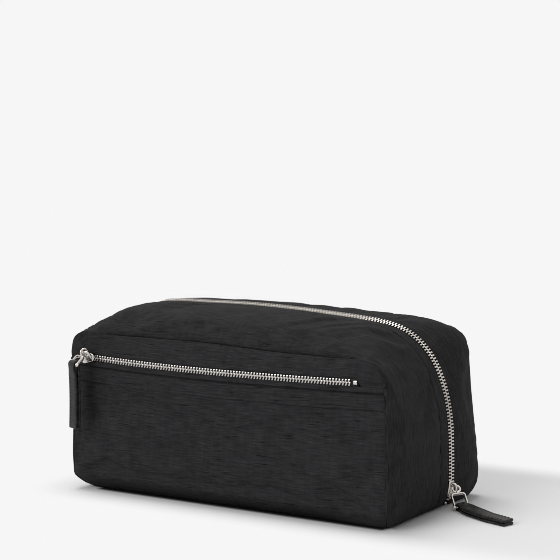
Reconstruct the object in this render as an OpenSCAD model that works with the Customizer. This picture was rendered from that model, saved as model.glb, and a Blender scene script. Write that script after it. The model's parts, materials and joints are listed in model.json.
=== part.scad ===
// Box-shaped wash bag: a clamshell lid, a zip pocket on its front and a hanging hook stowed inside.
// Origin: centre of the base where it stands. X runs along the length, the front faces -Y, Z is up.

/* [Bag body] */
// Length of the base, end to end
bag_l = 270; // [230:1:340]
// Depth of the base, front to back
bag_d = 145; // [130:1:190]
// Height of the crest, where the main zip crosses the top
bag_h = 138.5; // [134:0.5:170]
// Height of the top front edge
front_h = 121.5; // [117:0.5:130]
// Height of the top back edge
back_h = 134.5; // [130:0.5:150]
// How far each end bulges out at the main zip
end_bulge = 1; // [0:0.5:5]
// Thickness of the padded outer fabric
shell_t = 2; // [1.2:0.2:2.6]
// Thickness of the lining fabric
lining_t = 0.8; // [0.6:0.1:1.2]
// Space between the outer fabric and the lining
lining_gap = 0.8; // [0.8:0.1:1.4]
// Corner radius of the front panel
front_r = 14; // [8:1:22]
// Radius of the right shoulder at the main zip
shoulder_r = 70; // [30:1:72]
// Radius of the left shoulder at the main zip
left_shoulder_r = 24; // [15:1:40]
// Corner radius of the back panel
back_r = 16; // [8:1:24]
// How much narrower the back panel is at its top, at each end
back_taper = 8; // [2:1:12]

/* [Base] */
// Thickness of the fabric under the base
base_t = 2; // [1.2:0.2:3]
// Thickness of the board that stiffens the base
board_t = 1.6; // [1:0.2:2.4]
// Space between the board and the walls round it
board_gap = 5; // [5:0.5:10]

/* [Main zip] */
// Distance of the main zip's centre line from the front face
zip_from_front = 96.5; // [80:0.5:104]
// Width of the facing strip in front of the main zip
facing_w = 17; // [12:1:26]
// Width of one half of the row of teeth
teeth_w = 2.2; // [1.6:0.1:3]
// Thickness of the teeth
teeth_t = 2.2; // [1.8:0.1:2.6]
// Slot between the two halves, where a slider's neck runs
zip_slot = 0.8; // [0.7:0.1:1.2]
// How far the teeth stand out of the fabric
teeth_proud = 1.2; // [0.6:0.1:1.4]
// Width of each zip tape
tape_w = 9; // [7:0.5:10]
// Thickness of each zip tape
tape_t = 0.6; // [0.4:0.1:0.7]
// Height of the lower ends of the main zip above the floor
zip_end_h = 4; // [4:0.5:5]
// Height of the closed main slider's centre above the floor
main_slider_h = 14; // [12:0.5:16]

/* [Front pocket] */
// Height of the pocket zip above the floor
pocket_zip_h = 104; // [85:0.5:105]
// Length of the pocket zip to the left of the middle
pocket_zip_left = 127; // [127:0.5:130]
// Length of the pocket zip to the right of the middle
pocket_zip_right = 113; // [90:1:124]
// Distance of the closed pocket slider's centre from the middle
pocket_slider_x = 120.5; // [80:0.5:120.5]
// Width of the stitched band under the pocket zip
band_w = 10; // [7:1:14]
// Depth of the pocket when it is empty
pocket_gap = 5; // [5:0.5:10]

/* [Sliders] */
// Length of a slider
slider_l = 11; // [10:0.5:13]
// Width of a slider at its wide end
slider_w = 10; // [8.5:0.5:11]
// Width of a slider at its narrow end
slider_nose_w = 7; // [6:0.5:8]
// Thickness of a slider's outer plate
slider_t = 1.6; // [1.2:0.1:2]
// Thickness of a slider's inner plate
slider_inner_t = 1.2; // [0.8:0.1:1.4]
// Thickness of the neck between a slider's plates
neck_t = 0.5; // [0.3:0.05:0.55]
// Radius of the wire of a slider's bridge
bridge_r = 0.7; // [0.5:0.05:0.8]
// Height of the bridge's wire above the outer plate
bridge_rise = 3.6; // [3.4:0.1:5]
// How far the pocket slider's bridge leans up the bag
pocket_lean = 4.2; // [0:0.2:4.4]

/* [Bails and pins] */
// Radius of the eye of a bail, to the middle of its wire
eye_r = 2.4; // [2.3:0.1:2.6]
// Radius of the wire of a bail's eye
eye_wire_r = 0.6; // [0.4:0.05:0.65]
// Length of the main zip's bail, from its eye to the pin
bail_l = 15; // [15:0.5:18]
// Length of the pocket zip's bail, from its eye to the pin
pocket_bail_l = 12; // [11.5:0.5:16]
// Thickness of a bail's arms and crossbar
arm_t = 1.4; // [1:0.1:1.8]
// Height of a bail's flat frame
frame_t = 1.8; // [1.2:0.1:2]
// Radius of a pull's pin
pin_r = 0.9; // [0.7:0.05:1.1]
// Radius of the balls that end a pull's pin
ball_r = 1.4; // [1.3:0.1:1.5]
// Clearance all round a pin in its holes
pin_gap = 0.06; // [0.02:0.01:0.1]

/* [Leather pulls] */
// Length of the main zip's pull beyond its pin
pull_l = 53; // [35:1:70]
// Length of the pocket zip's pull beyond its pin
pocket_pull_l = 49; // [35:1:70]
// Width of a leather pull
pull_w = 11; // [9:0.5:13]
// Thickness of a leather pull, both layers
pull_t = 3.4; // [2.4:0.2:3.6]
// Width of the loop round the pin
loop_w = 8; // [7:0.5:9]
// Outer radius of the loop round the pin
loop_r = 2.2; // [1.8:0.1:2.4]

/* [Hanging hook] */
// Distance of the hook's hinge from the back face
hook_from_back = 30; // [30:1:34]
// Height of the hook's hinge above the floor
hook_h = 106; // [98:1:110]
// Width of the webbing tab that carries the hook
tab_w = 20; // [16:1:26]
// Thickness of the webbing tab
tab_t = 1.6; // [1:0.2:2]
// Radius of the hinge bar in the tab
bar_r = 1.4; // [1:0.1:1.8]
// Height of the swivel frame, from the bar down to its crosspiece
swivel_h = 13; // [11:1:18]
// Radius of the hook, to the middle of its wire
hook_r = 15; // [10:1:15]
// Radius of the hook's wire and stem
hook_wire_r = 2; // [1.4:0.1:2.2]
// Length of the hook's straight stem
stem_l = 18; // [14:1:22]

/* [Lid pocket] */
// Height of the mesh pocket inside the lid
mesh_h = 62; // [40:1:66]
// Depth of the mesh pocket inside the lid
mesh_gap = 6; // [5:0.5:6.5]
// Width of the elastic binding on the mesh pocket
binding_w = 8; // [5:1:12]

/* [Hidden] */

eps = 0.01;
foot_drop = 1;
// Space left between two pieces that pass or lie beside each other
fit_gap = 0.3;
slice_t = 0.1;
round_fn = 30;
seam_gap = 0.05;

front_y = -bag_d / 2;
back_y = bag_d / 2;
zip_y = front_y + zip_from_front;
half_l = bag_l / 2;
end_x = half_l + end_bulge;
lid_z = base_t + fit_gap;
slot_half = zip_slot / 2 + teeth_w + fit_gap;
seam_y = zip_y - slot_half - facing_w;
board_top = base_t + board_t;
base_top = board_top + lining_t + fit_gap;
crown_y = front_y + bag_d * 0.3;
crown_h = front_h + (bag_h - front_h) * 0.62;

lining_skin = shell_t + lining_gap;
lining_edge = slider_w / 2 + fit_gap;
tape_outer = shell_t + seam_gap;
tape_inner = tape_outer + tape_t;
pocket_back_y = front_y + shell_t + pocket_gap;
front_lining_y = pocket_back_y + lining_t + seam_gap;
lid_lining_y = back_y - lining_skin - lining_t;
mesh_y = lid_lining_y - mesh_gap;
mesh_half = end_x - back_taper / 2 - lining_skin - lining_t - 1;
mesh_z = base_top + 2;
web_h = 16;
web_back_gap = 8;

teeth_mid = teeth_t / 2 - teeth_proud;
plate_z = teeth_t / 2 + fit_gap;
under_z = tape_inner - teeth_mid + fit_gap;
bridge_z = plate_z + slider_t + bridge_rise;
bridge_back = slider_l / 2 - 1.4;
bridge_front = slider_l / 2 - 1.6;
frame_x = eye_r + 1.2;
arm_y = loop_w / 2 + fit_gap;
ball_y = arm_y + arm_t + ball_r - 0.2;
neck_l = loop_r + 0.6;

main_teeth_x = end_x - teeth_mid;
pocket_teeth_y = front_y + teeth_mid;
pocket_eye = [-pocket_slider_x, pocket_teeth_y - bridge_z, pocket_zip_h + pocket_lean];
main_eye = [main_teeth_x + bridge_z, zip_y, main_slider_h];
// Way each bail points, seen from above, how far it droops, and its roll, in degrees
pocket_heading = 247;
pocket_droop = 43;
main_heading = -42;
main_pin_h = loop_r + 0.7;
main_droop = asin((main_slider_h - main_pin_h) / bail_l);
main_roll = 8;
main_pin = main_eye + bail_l * [cos(main_heading) * cos(main_droop),
    sin(main_heading) * cos(main_droop), -sin(main_droop)];
// Way the main pull lies on the floor, in degrees
main_pull_heading = -27;
// Stations along the main pull: share along, share sideways, turn and roll in degrees
main_stations = [[0.04, 0, -21, 6], [0.33, -0.055, -8, 9], [0.66, -0.06, 5, 4], [1, 0, 14, 0]];

hook_y = back_y - hook_from_back;
// Width and depth of the swivel frame's arms, height of its boss, and height of the hook's collars
frame_arm = 2;
frame_d = 3.6;
boss_h = 4;
collar_h = 1.8;
swivel_z = hook_h - swivel_h;
hook_c = swivel_z - stem_l - hook_r;
// Height of the outer fabric over the hook's hinge
hook_roof = bag_h + (back_h - bag_h) * (hook_y - zip_y) / (back_y - zip_y);
tab_top = hook_roof - lining_skin - lining_t - 0.1;

black = [0.06, 0.06, 0.065];
lining_grey = [0.12, 0.12, 0.13];
leather_black = [0.04, 0.04, 0.04];
nickel = [0.8, 0.79, 0.77];
board_grey = [0.2, 0.2, 0.2];

// ---- Outlines and forms ----

// Corners of an outline seen from the front: one radius at each top corner, and a foot just below the floor
module arch_corners(foot_half, top_half, h, rl, rr, inset) {
    l = rl - inset;
    r = rr - inset;
    translate([inset - foot_half, -foot_drop]) square([2 * (foot_half - inset), eps]);
    translate([inset - top_half + l, h - inset - l]) circle(r = l, $fn = round_fn);
    translate([top_half - inset - r, h - inset - r]) circle(r = r, $fn = 1.5 * round_fn);
}

module slice(y, foot_half, top_half, h, rl, rr, inset) {
    translate([0, y + slice_t / 2, 0]) rotate([90, 0, 0])
        linear_extrude(slice_t) arch_corners(foot_half, top_half, h, rl, rr, inset);
}

module zip_slice(inset) {
    slice(zip_y, end_x, end_x, bag_h, left_shoulder_r, shoulder_r, inset);
}

// Solid outer form of the bag in front of the main zip, made smaller by inset all round
module front_form(inset) {
    hull() {
        slice(front_y, half_l, half_l, front_h, front_r, front_r, inset);
        slice(crown_y, half_l, half_l, crown_h, (front_r + left_shoulder_r) / 2,
            (front_r + shoulder_r) / 2, inset);
        zip_slice(inset);
    }
}

// Solid outer form of the bag behind the main zip, made smaller by inset all round
module lid_form(inset) {
    hull() {
        zip_slice(inset);
        slice(back_y, end_x, end_x - back_taper, back_h, back_r, back_r, inset);
    }
}

// Space between two depths, above a height
module slab(y0, y1, z0) {
    translate([-bag_l, y0, z0]) cube([2 * bag_l, y1 - y0, 2 * bag_h]);
}

// Strip of the wall that bends over the top and down both ends, in front of the main zip
module front_strip(outer, inner, y0, y1, z0) {
    intersection() {
        difference() {
            front_form(outer);
            front_form(inner);
        }
        slab(y0, y1, z0);
    }
}

module lid_strip(outer, inner, y0, y1, z0) {
    intersection() {
        difference() {
            lid_form(outer);
            lid_form(inner);
        }
        slab(y0, y1, z0);
    }
}

module front_outline(inset) {
    hull() arch_corners(half_l, half_l, front_h, front_r, front_r, inset);
}

module back_outline(inset) {
    hull() arch_corners(end_x, end_x - back_taper, back_h, back_r, back_r, inset);
}

// Upright plate made from a child outline, between two heights
module plate(y0, t, z0, z1) {
    intersection() {
        translate([0, y0 + t, 0]) rotate([90, 0, 0]) linear_extrude(t) children();
        translate([-bag_l, y0 - 1, z0]) cube([2 * bag_l, t + 2, z1 - z0]);
    }
}

// ---- Base ----

module base_panel() {
    color(black) translate([-half_l, front_y, 0]) cube([bag_l, bag_d, base_t]);
}

// Thin sheet that lies on the base, clear of the walls and the pocket
module base_sheet(z0, t) {
    edge = shell_t + board_gap;
    translate([-half_l + edge, front_y + edge + pocket_gap, z0])
        cube([bag_l - 2 * edge, bag_d - 2 * edge - pocket_gap, t]);
}

module base_board() {
    color(board_grey) base_sheet(base_t, board_t);
}

module base_lining() {
    color(lining_grey) base_sheet(board_top, lining_t);
}

// ---- Front compartment ----

module pocket_front() {
    color(black) plate(front_y, shell_t, base_t, pocket_zip_h - slot_half - band_w) front_outline(0);
}

module pocket_band() {
    color(black) plate(front_y, shell_t, pocket_zip_h - slot_half - band_w, pocket_zip_h - slot_half)
        front_outline(0);
}

module front_yoke() {
    color(black) difference() {
        plate(front_y, shell_t, pocket_zip_h - slot_half, front_h) front_outline(0);
        translate([-pocket_zip_left - fit_gap, front_y - 1, pocket_zip_h - slot_half - 1])
            cube([pocket_zip_left + pocket_zip_right + 2 * fit_gap, shell_t + 2, 2 * slot_half + 1]);
    }
}

module pocket_back() {
    color(lining_grey) plate(pocket_back_y, lining_t, base_t, front_h) front_outline(shell_t + fit_gap);
}

// Piped seam round the edge of a panel
module piping(y0, t) {
    color(black) difference() {
        plate(y0, t, lid_z, bag_h) children(0);
        plate(y0 - 1, t + 2, 0, bag_h) children(1);
    }
}

module front_piping() {
    piping(front_y - 1, 1) {
        front_outline(-1);
        front_outline(1);
    }
}

module front_gusset() {
    color(black) front_strip(0, shell_t, front_y + shell_t, seam_y, base_t);
}

module zip_facing() {
    color(black) front_strip(0, shell_t, seam_y, zip_y - slot_half, base_t);
}

module compartment_lining() {
    color(lining_grey) union() {
        front_strip(lining_skin, lining_skin + lining_t, front_lining_y, zip_y - lining_edge, base_top);
        plate(front_lining_y, lining_t, base_top, front_h) front_outline(lining_skin);
    }
}

// ---- Pocket zip ----

// Upper half of the tape: sewn behind the fabric, with a bead that carries the teeth
module pocket_tape() {
    zip_l = pocket_zip_left + pocket_zip_right;
    teeth_back = pocket_teeth_y + teeth_t / 2;
    color(black) translate([-pocket_zip_left, 0, zip_slot / 2]) union() {
        translate([0, front_y + tape_outer, 0]) cube([zip_l, tape_t, tape_w]);
        translate([0, teeth_back, 0]) cube([zip_l, front_y + tape_inner - teeth_back, teeth_w]);
    }
}

module pocket_teeth() {
    color(nickel) translate([-pocket_zip_left, pocket_teeth_y - teeth_t / 2, zip_slot / 2])
        cube([pocket_zip_left + pocket_zip_right - 4, teeth_t, teeth_w]);
}

module pocket_tape_upper() {
    translate([0, 0, pocket_zip_h]) pocket_tape();
}

module pocket_tape_lower() {
    translate([0, 0, pocket_zip_h]) mirror([0, 0, 1]) pocket_tape();
}

module pocket_teeth_upper() {
    translate([0, 0, pocket_zip_h]) pocket_teeth();
}

module pocket_teeth_lower() {
    translate([0, 0, pocket_zip_h]) mirror([0, 0, 1]) pocket_teeth();
}

module pocket_zip_stop() {
    color(nickel) translate([pocket_zip_right - 3.5, pocket_teeth_y - teeth_t / 2, pocket_zip_h - teeth_w])
        cube([3, teeth_t, 2 * teeth_w]);
}

// ---- Main zip ----

module main_tape_front() {
    color(black) union() {
        front_strip(tape_outer, tape_inner, zip_y - zip_slot / 2 - tape_w, zip_y - zip_slot / 2, zip_end_h);
        front_strip(teeth_t - teeth_proud, tape_inner, zip_y - zip_slot / 2 - teeth_w, zip_y - zip_slot / 2,
            zip_end_h);
    }
}

module main_teeth_front() {
    color(nickel) front_strip(-teeth_proud, teeth_t - teeth_proud, zip_y - zip_slot / 2 - teeth_w,
        zip_y - zip_slot / 2, zip_end_h);
}

module main_zip_stops() {
    color(nickel) for (side = [-1, 1])
        translate([side * main_teeth_x - teeth_t / 2, zip_y - zip_slot / 2 - teeth_w, base_t])
            cube([teeth_t, teeth_w, zip_end_h - base_t]);
}

module main_tape_rear() {
    color(black) union() {
        lid_strip(tape_outer, tape_inner, zip_y + zip_slot / 2, zip_y + zip_slot / 2 + tape_w, zip_end_h);
        lid_strip(teeth_t - teeth_proud, tape_inner, zip_y + zip_slot / 2, zip_y + zip_slot / 2 + teeth_w,
            zip_end_h);
    }
}

module main_teeth_rear() {
    color(nickel) lid_strip(-teeth_proud, teeth_t - teeth_proud, zip_y + zip_slot / 2,
        zip_y + zip_slot / 2 + teeth_w, zip_end_h);
}

// ---- Lid ----

module back_panel() {
    color(black) plate(back_y - shell_t, shell_t, lid_z, back_h) back_outline(0);
}

module lid_gusset() {
    color(black) lid_strip(0, shell_t, zip_y + slot_half, back_y - shell_t, lid_z);
}

module back_piping() {
    piping(back_y, 0.8) {
        back_outline(-1);
        back_outline(1);
    }
}

module lid_lining() {
    color(lining_grey) union() {
        lid_strip(lining_skin, lining_skin + lining_t, zip_y + lining_edge, lid_lining_y + lining_t,
            base_top + 1);
        plate(lid_lining_y, lining_t, base_top + 1, back_h) back_outline(lining_skin);
    }
}

// Sheet with a bottom and two sides that reach back to the lid's lining
module mesh_pocket() {
    sheet_h = mesh_h - binding_w;
    color(lining_grey) translate([-mesh_half, mesh_y - lining_t, mesh_z]) union() {
        cube([2 * mesh_half, lining_t, sheet_h]);
        cube([2 * mesh_half, mesh_gap + lining_t, lining_t]);
        for (x = [0, 2 * mesh_half - lining_t])
            translate([x, 0, 0]) cube([lining_t, mesh_gap + lining_t, sheet_h]);
    }
}

module mesh_binding() {
    color(black) translate([-mesh_half, mesh_y - lining_t - 0.4, mesh_z + mesh_h - binding_w])
        cube([2 * mesh_half, lining_t + 0.8, binding_w]);
}

// Folded fabric at each lower corner, which spreads out like a fan as the lid opens
module corner_webs() {
    web_y = zip_y + zip_slot / 2 + tape_w + fit_gap;
    color(black) intersection() {
        lid_strip(tape_outer, tape_inner, web_y, back_y - web_back_gap, lid_z);
        translate([-bag_l, front_y, 0]) cube([2 * bag_l, bag_d, lid_z + web_h]);
    }
}

// ---- Hanging hook ----

module along_x(r, half, y, z) {
    translate([-half, y, z]) rotate([0, 90, 0]) cylinder(r = r, h = 2 * half, $fn = 40);
}

module hanger_tab() {
    color(black) difference() {
        union() {
            translate([-tab_w / 2, hook_y - tab_t / 2, hook_h]) cube([tab_w, tab_t, tab_top - hook_h]);
            along_x(bar_r + tab_t, tab_w / 2, hook_y, hook_h);
        }
        along_x(bar_r + pin_gap, tab_w, hook_y, hook_h);
    }
}

// Frame that hangs from the tab on its bar and holds the hook's stem in a bore
module hanger_swivel() {
    arm_in = tab_w / 2 + fit_gap;
    half = arm_in + frame_arm;
    color(nickel) difference() {
        union() {
            along_x(bar_r, half, hook_y, hook_h);
            for (side = [-1, 1])
                translate([side * (arm_in + frame_arm / 2) - frame_arm / 2, hook_y - frame_d / 2, swivel_z])
                    cube([frame_arm, frame_d, swivel_h + bar_r + 0.4]);
            translate([-half, hook_y - frame_d / 2, swivel_z - boss_h / 2]) cube([2 * half, frame_d, boss_h]);
            translate([0, hook_y, swivel_z - boss_h / 2]) cylinder(r = hook_wire_r + 2, h = boss_h, $fn = 40);
        }
        translate([0, hook_y, swivel_z - boss_h]) cylinder(r = hook_wire_r + pin_gap, h = 2 * boss_h, $fn = 40);
    }
}

// Round wire: a stem with a collar above and below the frame, and three quarters of a ring
module hanging_hook() {
    color(nickel) translate([0, hook_y, 0]) union() {
        translate([0, 0, swivel_z + boss_h / 2 + pin_gap])
            cylinder(r = hook_wire_r + 1.4, h = collar_h, $fn = 40);
        translate([0, 0, swivel_z - stem_l])
            cylinder(r = hook_wire_r, h = stem_l + boss_h / 2 + collar_h, $fn = 40);
        translate([0, 0, swivel_z - boss_h / 2 - pin_gap - collar_h])
            cylinder(r = hook_wire_r + 1.2, h = collar_h, $fn = 40);
        translate([0, 0, hook_c]) rotate([90, 0, 0]) rotate([0, 0, -180])
            rotate_extrude(angle = 270, $fn = 64) translate([hook_r, 0]) circle(r = hook_wire_r, $fn = 24);
        translate([-hook_r, 0, hook_c]) sphere(r = hook_wire_r + 0.6, $fn = 32);
    }
}

// ---- Sliders: X points along the travel as the zip opens, Z out of the bag ----

module slider_outline() {
    polygon([[-slider_l / 2, -slider_w / 2], [slider_l / 2 - 3, -slider_w / 2 + 0.6],
        [slider_l / 2, -slider_nose_w / 2], [slider_l / 2, slider_nose_w / 2],
        [slider_l / 2 - 3, slider_w / 2 - 0.6], [-slider_l / 2, slider_w / 2]]);
}

// The bridge leans towards +Y
module slider(lean) {
    leg = norm([lean, bridge_rise + 0.4]);
    color(nickel) union() {
        translate([0, 0, plate_z]) linear_extrude(slider_t) slider_outline();
        translate([0, 0, -under_z - slider_inner_t]) linear_extrude(slider_inner_t) slider_outline();
        translate([-slider_l / 2, -neck_t / 2, -under_z - 0.5])
            cube([slider_l, neck_t, under_z + plate_z + 1]);
        translate([0, 0, plate_z + slider_t - 0.4]) rotate([-atan2(lean, bridge_rise + 0.4), 0, 0]) union() {
            for (x = [-bridge_back, bridge_front]) {
                translate([x, 0, 0]) cylinder(r = bridge_r + 0.1, h = leg, $fn = round_fn);
                translate([x, 0, leg]) sphere(r = bridge_r + 0.1, $fn = round_fn);
            }
            translate([-bridge_back, 0, leg]) rotate([0, 90, 0])
                cylinder(r = bridge_r, h = bridge_back + bridge_front, $fn = round_fn);
        }
    }
}

// ---- Bails: eye at the origin, X towards the pin, Y along the pin ----

module along_y(r, w, x) {
    translate([x, 0, 0]) rotate([90, 0, 0]) cylinder(r = r, h = w, center = true, $fn = 40);
}

// The eye's ring stands across the frame, or lies in its plane when turned by 90 degrees
module bail(l, eye_turn) {
    frame_w = 2 * (arm_y + arm_t);
    color(nickel) difference() {
        union() {
            rotate([90 + eye_turn, 0, 0]) rotate_extrude($fn = 48)
                translate([eye_r, 0]) circle(r = eye_wire_r, $fn = 24);
            translate([eye_r - 0.2, -1, -frame_t / 2]) cube([frame_x - eye_r + 0.4, 2, frame_t]);
            translate([frame_x, -frame_w / 2, -frame_t / 2]) cube([arm_t, frame_w, frame_t]);
            for (side = [-1, 1]) translate([0, side * (arm_y + arm_t / 2), 0]) {
                translate([frame_x, -arm_t / 2, -frame_t / 2])
                    cube([l - frame_x, arm_t, frame_t]);
                along_y(pin_r + 0.8, arm_t, l);
            }
        }
        along_y(pin_r + pin_gap, 2 * frame_w, l);
    }
}

module pull_pin(l) {
    color(nickel) translate([l, 0, 0]) union() {
        along_y(pin_r, 2 * ball_y, 0);
        for (side = [-1, 1]) translate([0, side * ball_y, 0]) sphere(r = ball_r, $fn = round_fn);
    }
}

module at_pocket_slider() {
    translate([-pocket_slider_x, pocket_teeth_y, pocket_zip_h]) rotate([90, 0, 0]) children();
}

module at_main_slider() {
    translate([main_teeth_x, zip_y, main_slider_h]) rotate([180, -90, 0]) children();
}

module at_pocket_bail() {
    translate(pocket_eye) rotate([0, pocket_droop, pocket_heading]) children();
}

module at_main_bail() {
    translate(main_eye) rotate([0, main_droop, main_heading]) rotate([main_roll, 0, 0]) children();
}

module pocket_slider() {
    at_pocket_slider() slider(pocket_lean);
}

module pocket_bail() {
    at_pocket_bail() bail(pocket_bail_l, 0);
}

module pocket_pull_pin() {
    at_pocket_bail() pull_pin(pocket_bail_l);
}

// Leather folded round its pin, hanging straight down
module pocket_pull() {
    color(leather_black) at_pocket_bail() translate([pocket_bail_l, 0, 0])
        rotate([0, 90 - pocket_droop, 0]) difference() {
            union() {
                along_y(loop_r, loop_w, 0);
                translate([0, -loop_w / 2, -pull_t / 2]) cube([neck_l, loop_w, pull_t]);
                translate([neck_l, -pull_w / 2, -pull_t / 2]) cube([pocket_pull_l - neck_l, pull_w, pull_t]);
            }
            along_y(pin_r + pin_gap, 2 * pull_w, 0);
        }
}

module main_slider() {
    at_main_slider() slider(0);
}

module main_bail() {
    at_main_bail() bail(bail_l, 90);
}

module main_pull_pin() {
    at_main_bail() pull_pin(bail_l);
}

// Thin slice across the main pull at one station, just above the floor
module station(i, w) {
    s = main_stations[i];
    z = pull_t / 2 * cos(s[3]) + w / 2 * sin(s[3]) + 0.3;
    translate([main_pin[0], main_pin[1], z]) rotate([0, 0, main_pull_heading])
        translate([pull_l * s[0], pull_l * s[1], 0]) rotate([s[3], 0, s[2]])
            cube([slice_t, w, pull_t], center = true);
}

// Leather folded round its pin, lying on the floor with a gentle curve and twist
module main_pull() {
    last = len(main_stations) - 1;
    color(leather_black) difference() {
        union() {
            at_main_bail() along_y(loop_r, loop_w, bail_l);
            for (i = [0 : last - 1]) hull() {
                station(i, i == 0 ? loop_w : pull_w);
                station(i + 1, pull_w);
            }
        }
        at_main_bail() along_y(pin_r + pin_gap, 2 * pull_w, bail_l);
    }
}

base_panel();
base_board();
base_lining();
pocket_front();
pocket_band();
front_yoke();
pocket_back();
front_piping();
front_gusset();
zip_facing();
compartment_lining();
pocket_tape_upper();
pocket_tape_lower();
pocket_teeth_upper();
pocket_teeth_lower();
pocket_zip_stop();
main_tape_front();
main_teeth_front();
main_zip_stops();
back_panel();
lid_gusset();
back_piping();
lid_lining();
main_tape_rear();
main_teeth_rear();
mesh_pocket();
mesh_binding();
corner_webs();
hanger_tab();
hanger_swivel();
hanging_hook();
pocket_slider();
pocket_bail();
pocket_pull_pin();
pocket_pull();
main_slider();
main_bail();
main_pull_pin();
main_pull();
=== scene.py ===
"""Soft box-shaped wash bag with two metal zips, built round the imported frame.

Lengths in the dataclasses are in millimetres and turn into metres as meshes are made. X runs along the
bag, the front pocket faces -Y and Z is up. Every surface is a grid of points worked out with numpy.
"""

import json
import logging
import math
from collections.abc import Callable
from dataclasses import dataclass, field
from enum import Enum

import bmesh
import bpy
import numpy as np
from mathutils import Matrix, Vector


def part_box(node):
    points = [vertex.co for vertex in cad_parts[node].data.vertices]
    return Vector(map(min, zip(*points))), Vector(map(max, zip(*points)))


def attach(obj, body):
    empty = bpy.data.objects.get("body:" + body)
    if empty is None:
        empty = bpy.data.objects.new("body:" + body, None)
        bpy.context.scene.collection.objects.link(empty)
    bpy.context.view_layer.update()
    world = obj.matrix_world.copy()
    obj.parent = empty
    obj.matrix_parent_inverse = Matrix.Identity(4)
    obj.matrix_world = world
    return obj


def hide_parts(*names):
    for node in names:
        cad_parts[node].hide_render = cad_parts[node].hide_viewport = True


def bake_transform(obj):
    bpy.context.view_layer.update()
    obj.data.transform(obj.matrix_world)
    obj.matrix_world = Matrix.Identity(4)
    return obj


MM = 0.001
LOG = logging.getLogger("wash_bag")

Array = np.ndarray
Solid = tuple[Array, list]
Object = bpy.types.Object
Socket = bpy.types.NodeSocket
X, Y, Z = np.eye(3)
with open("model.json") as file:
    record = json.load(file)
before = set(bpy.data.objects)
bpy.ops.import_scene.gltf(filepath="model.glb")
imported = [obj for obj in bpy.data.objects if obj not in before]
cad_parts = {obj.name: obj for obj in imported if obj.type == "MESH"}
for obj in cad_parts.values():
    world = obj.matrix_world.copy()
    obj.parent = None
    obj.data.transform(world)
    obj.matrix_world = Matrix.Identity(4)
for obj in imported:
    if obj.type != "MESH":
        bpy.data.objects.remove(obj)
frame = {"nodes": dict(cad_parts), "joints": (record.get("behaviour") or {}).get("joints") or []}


def joint(name: str) -> dict:
    """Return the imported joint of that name."""
    return next(j for j in frame["joints"] if j["name"] == name)


def node_box(name: str) -> tuple[Array, Array]:
    """Return a CAD node's lowest and highest corners, in millimetres."""
    low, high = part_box(name)
    return np.array(low, float) / MM, np.array(high, float) / MM


# ---------------------------------------------------------------- numbers and small shapes


def held(x: Array) -> Array:
    """Hold values between 0 and 1."""
    return np.clip(x, 0.0, 1.0)


def smooth(x: Array) -> Array:
    """Ease from 0 to 1: three x squared less two x cubed, held outside 0 to 1."""
    t = held(x)
    return t * t * (3.0 - 2.0 * t)


def bell(x: Array, wide: float) -> Array:
    """Bell curve exp(-(x / wide)^2)."""
    return np.exp(-((x / wide) ** 2))


def spot(x: Array, wide: float, y: Array, tall: float) -> Array:
    """Bell in two directions: exp(-(x / wide)^2 - (y / tall)^2)."""
    return np.exp(-((x / wide) ** 2) - ((y / tall) ** 2))


def unit(v: Array) -> Array:
    """Scale vectors along the last axis to length 1."""
    return v / np.maximum(np.linalg.norm(v, axis=-1, keepdims=True), 1e-12)


def points(x: Array, y: Array, z: Array) -> Array:
    """Points with those coordinates, on the grid that the three share."""
    return np.stack(np.broadcast_arrays(x, y, z), axis=-1)


def fan(foot: Array, edge: Array, rows: int) -> Array:
    """Rows from one line to another: (1 - b) times foot plus b times edge, with b from 0 to 1."""
    b = np.linspace(0, 1, rows)[None, :, None]
    return (1 - b) * foot[:, None] + b * edge[:, None]


def lengths(line: Array) -> Array:
    """Distance along a run of points, starting at 0."""
    return np.concatenate([[0.0], np.cumsum(np.linalg.norm(np.diff(line, axis=0), axis=1))])


def resample(line: Array, at: Array, values: Array | None = None) -> Array:
    """Points, or the values that belong to them, at the given distances along a run of points.

    Args:
        line: the run of points.
        at: distances along it.
        values: values that belong to its points, or None for the points.

    Returns:
        One row for each distance.
    """
    along = lengths(line)
    values = line if values is None else np.broadcast_to(values, line.shape)
    return np.stack([np.interp(at, along, values[:, k]) for k in range(values.shape[1])], axis=1)


def heading(line: Array) -> Array:
    """Unit directions along a run of points."""
    return unit(np.gradient(line, axis=0))


def out_of_bag(line: Array) -> Array:
    """Direction out of the bag along a line that runs round it: its own direction crossed with Y."""
    return unit(np.cross(heading(line), Y))


def grid_normals(grid: Array) -> Array:
    """Unit normals of a grid: cross product of the slopes along its two parameters."""
    return unit(np.cross(np.gradient(grid, axis=0), np.gradient(grid, axis=1)))


def ripple(x: Array, seed: int, waves: int, longest: float) -> Array:
    """Sum of sines of ever shorter wavelength with seeded phases, about 1 high.

    Args:
        x: distance in millimetres.
        seed: seed of the phases.
        waves: number of sines.
        longest: wavelength of the first.

    Returns:
        The sum at each x.
    """
    shorter, weaker = 1.7, 1.35
    rng = np.random.default_rng(seed)
    total = np.zeros_like(x, float)
    for k in range(waves):
        total += np.sin(2 * np.pi * x * shorter**k / longest + rng.uniform(0, 2 * np.pi)) / weaker**k
    return total / 2.0


# ---------------------------------------------------------------- meshes


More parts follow.
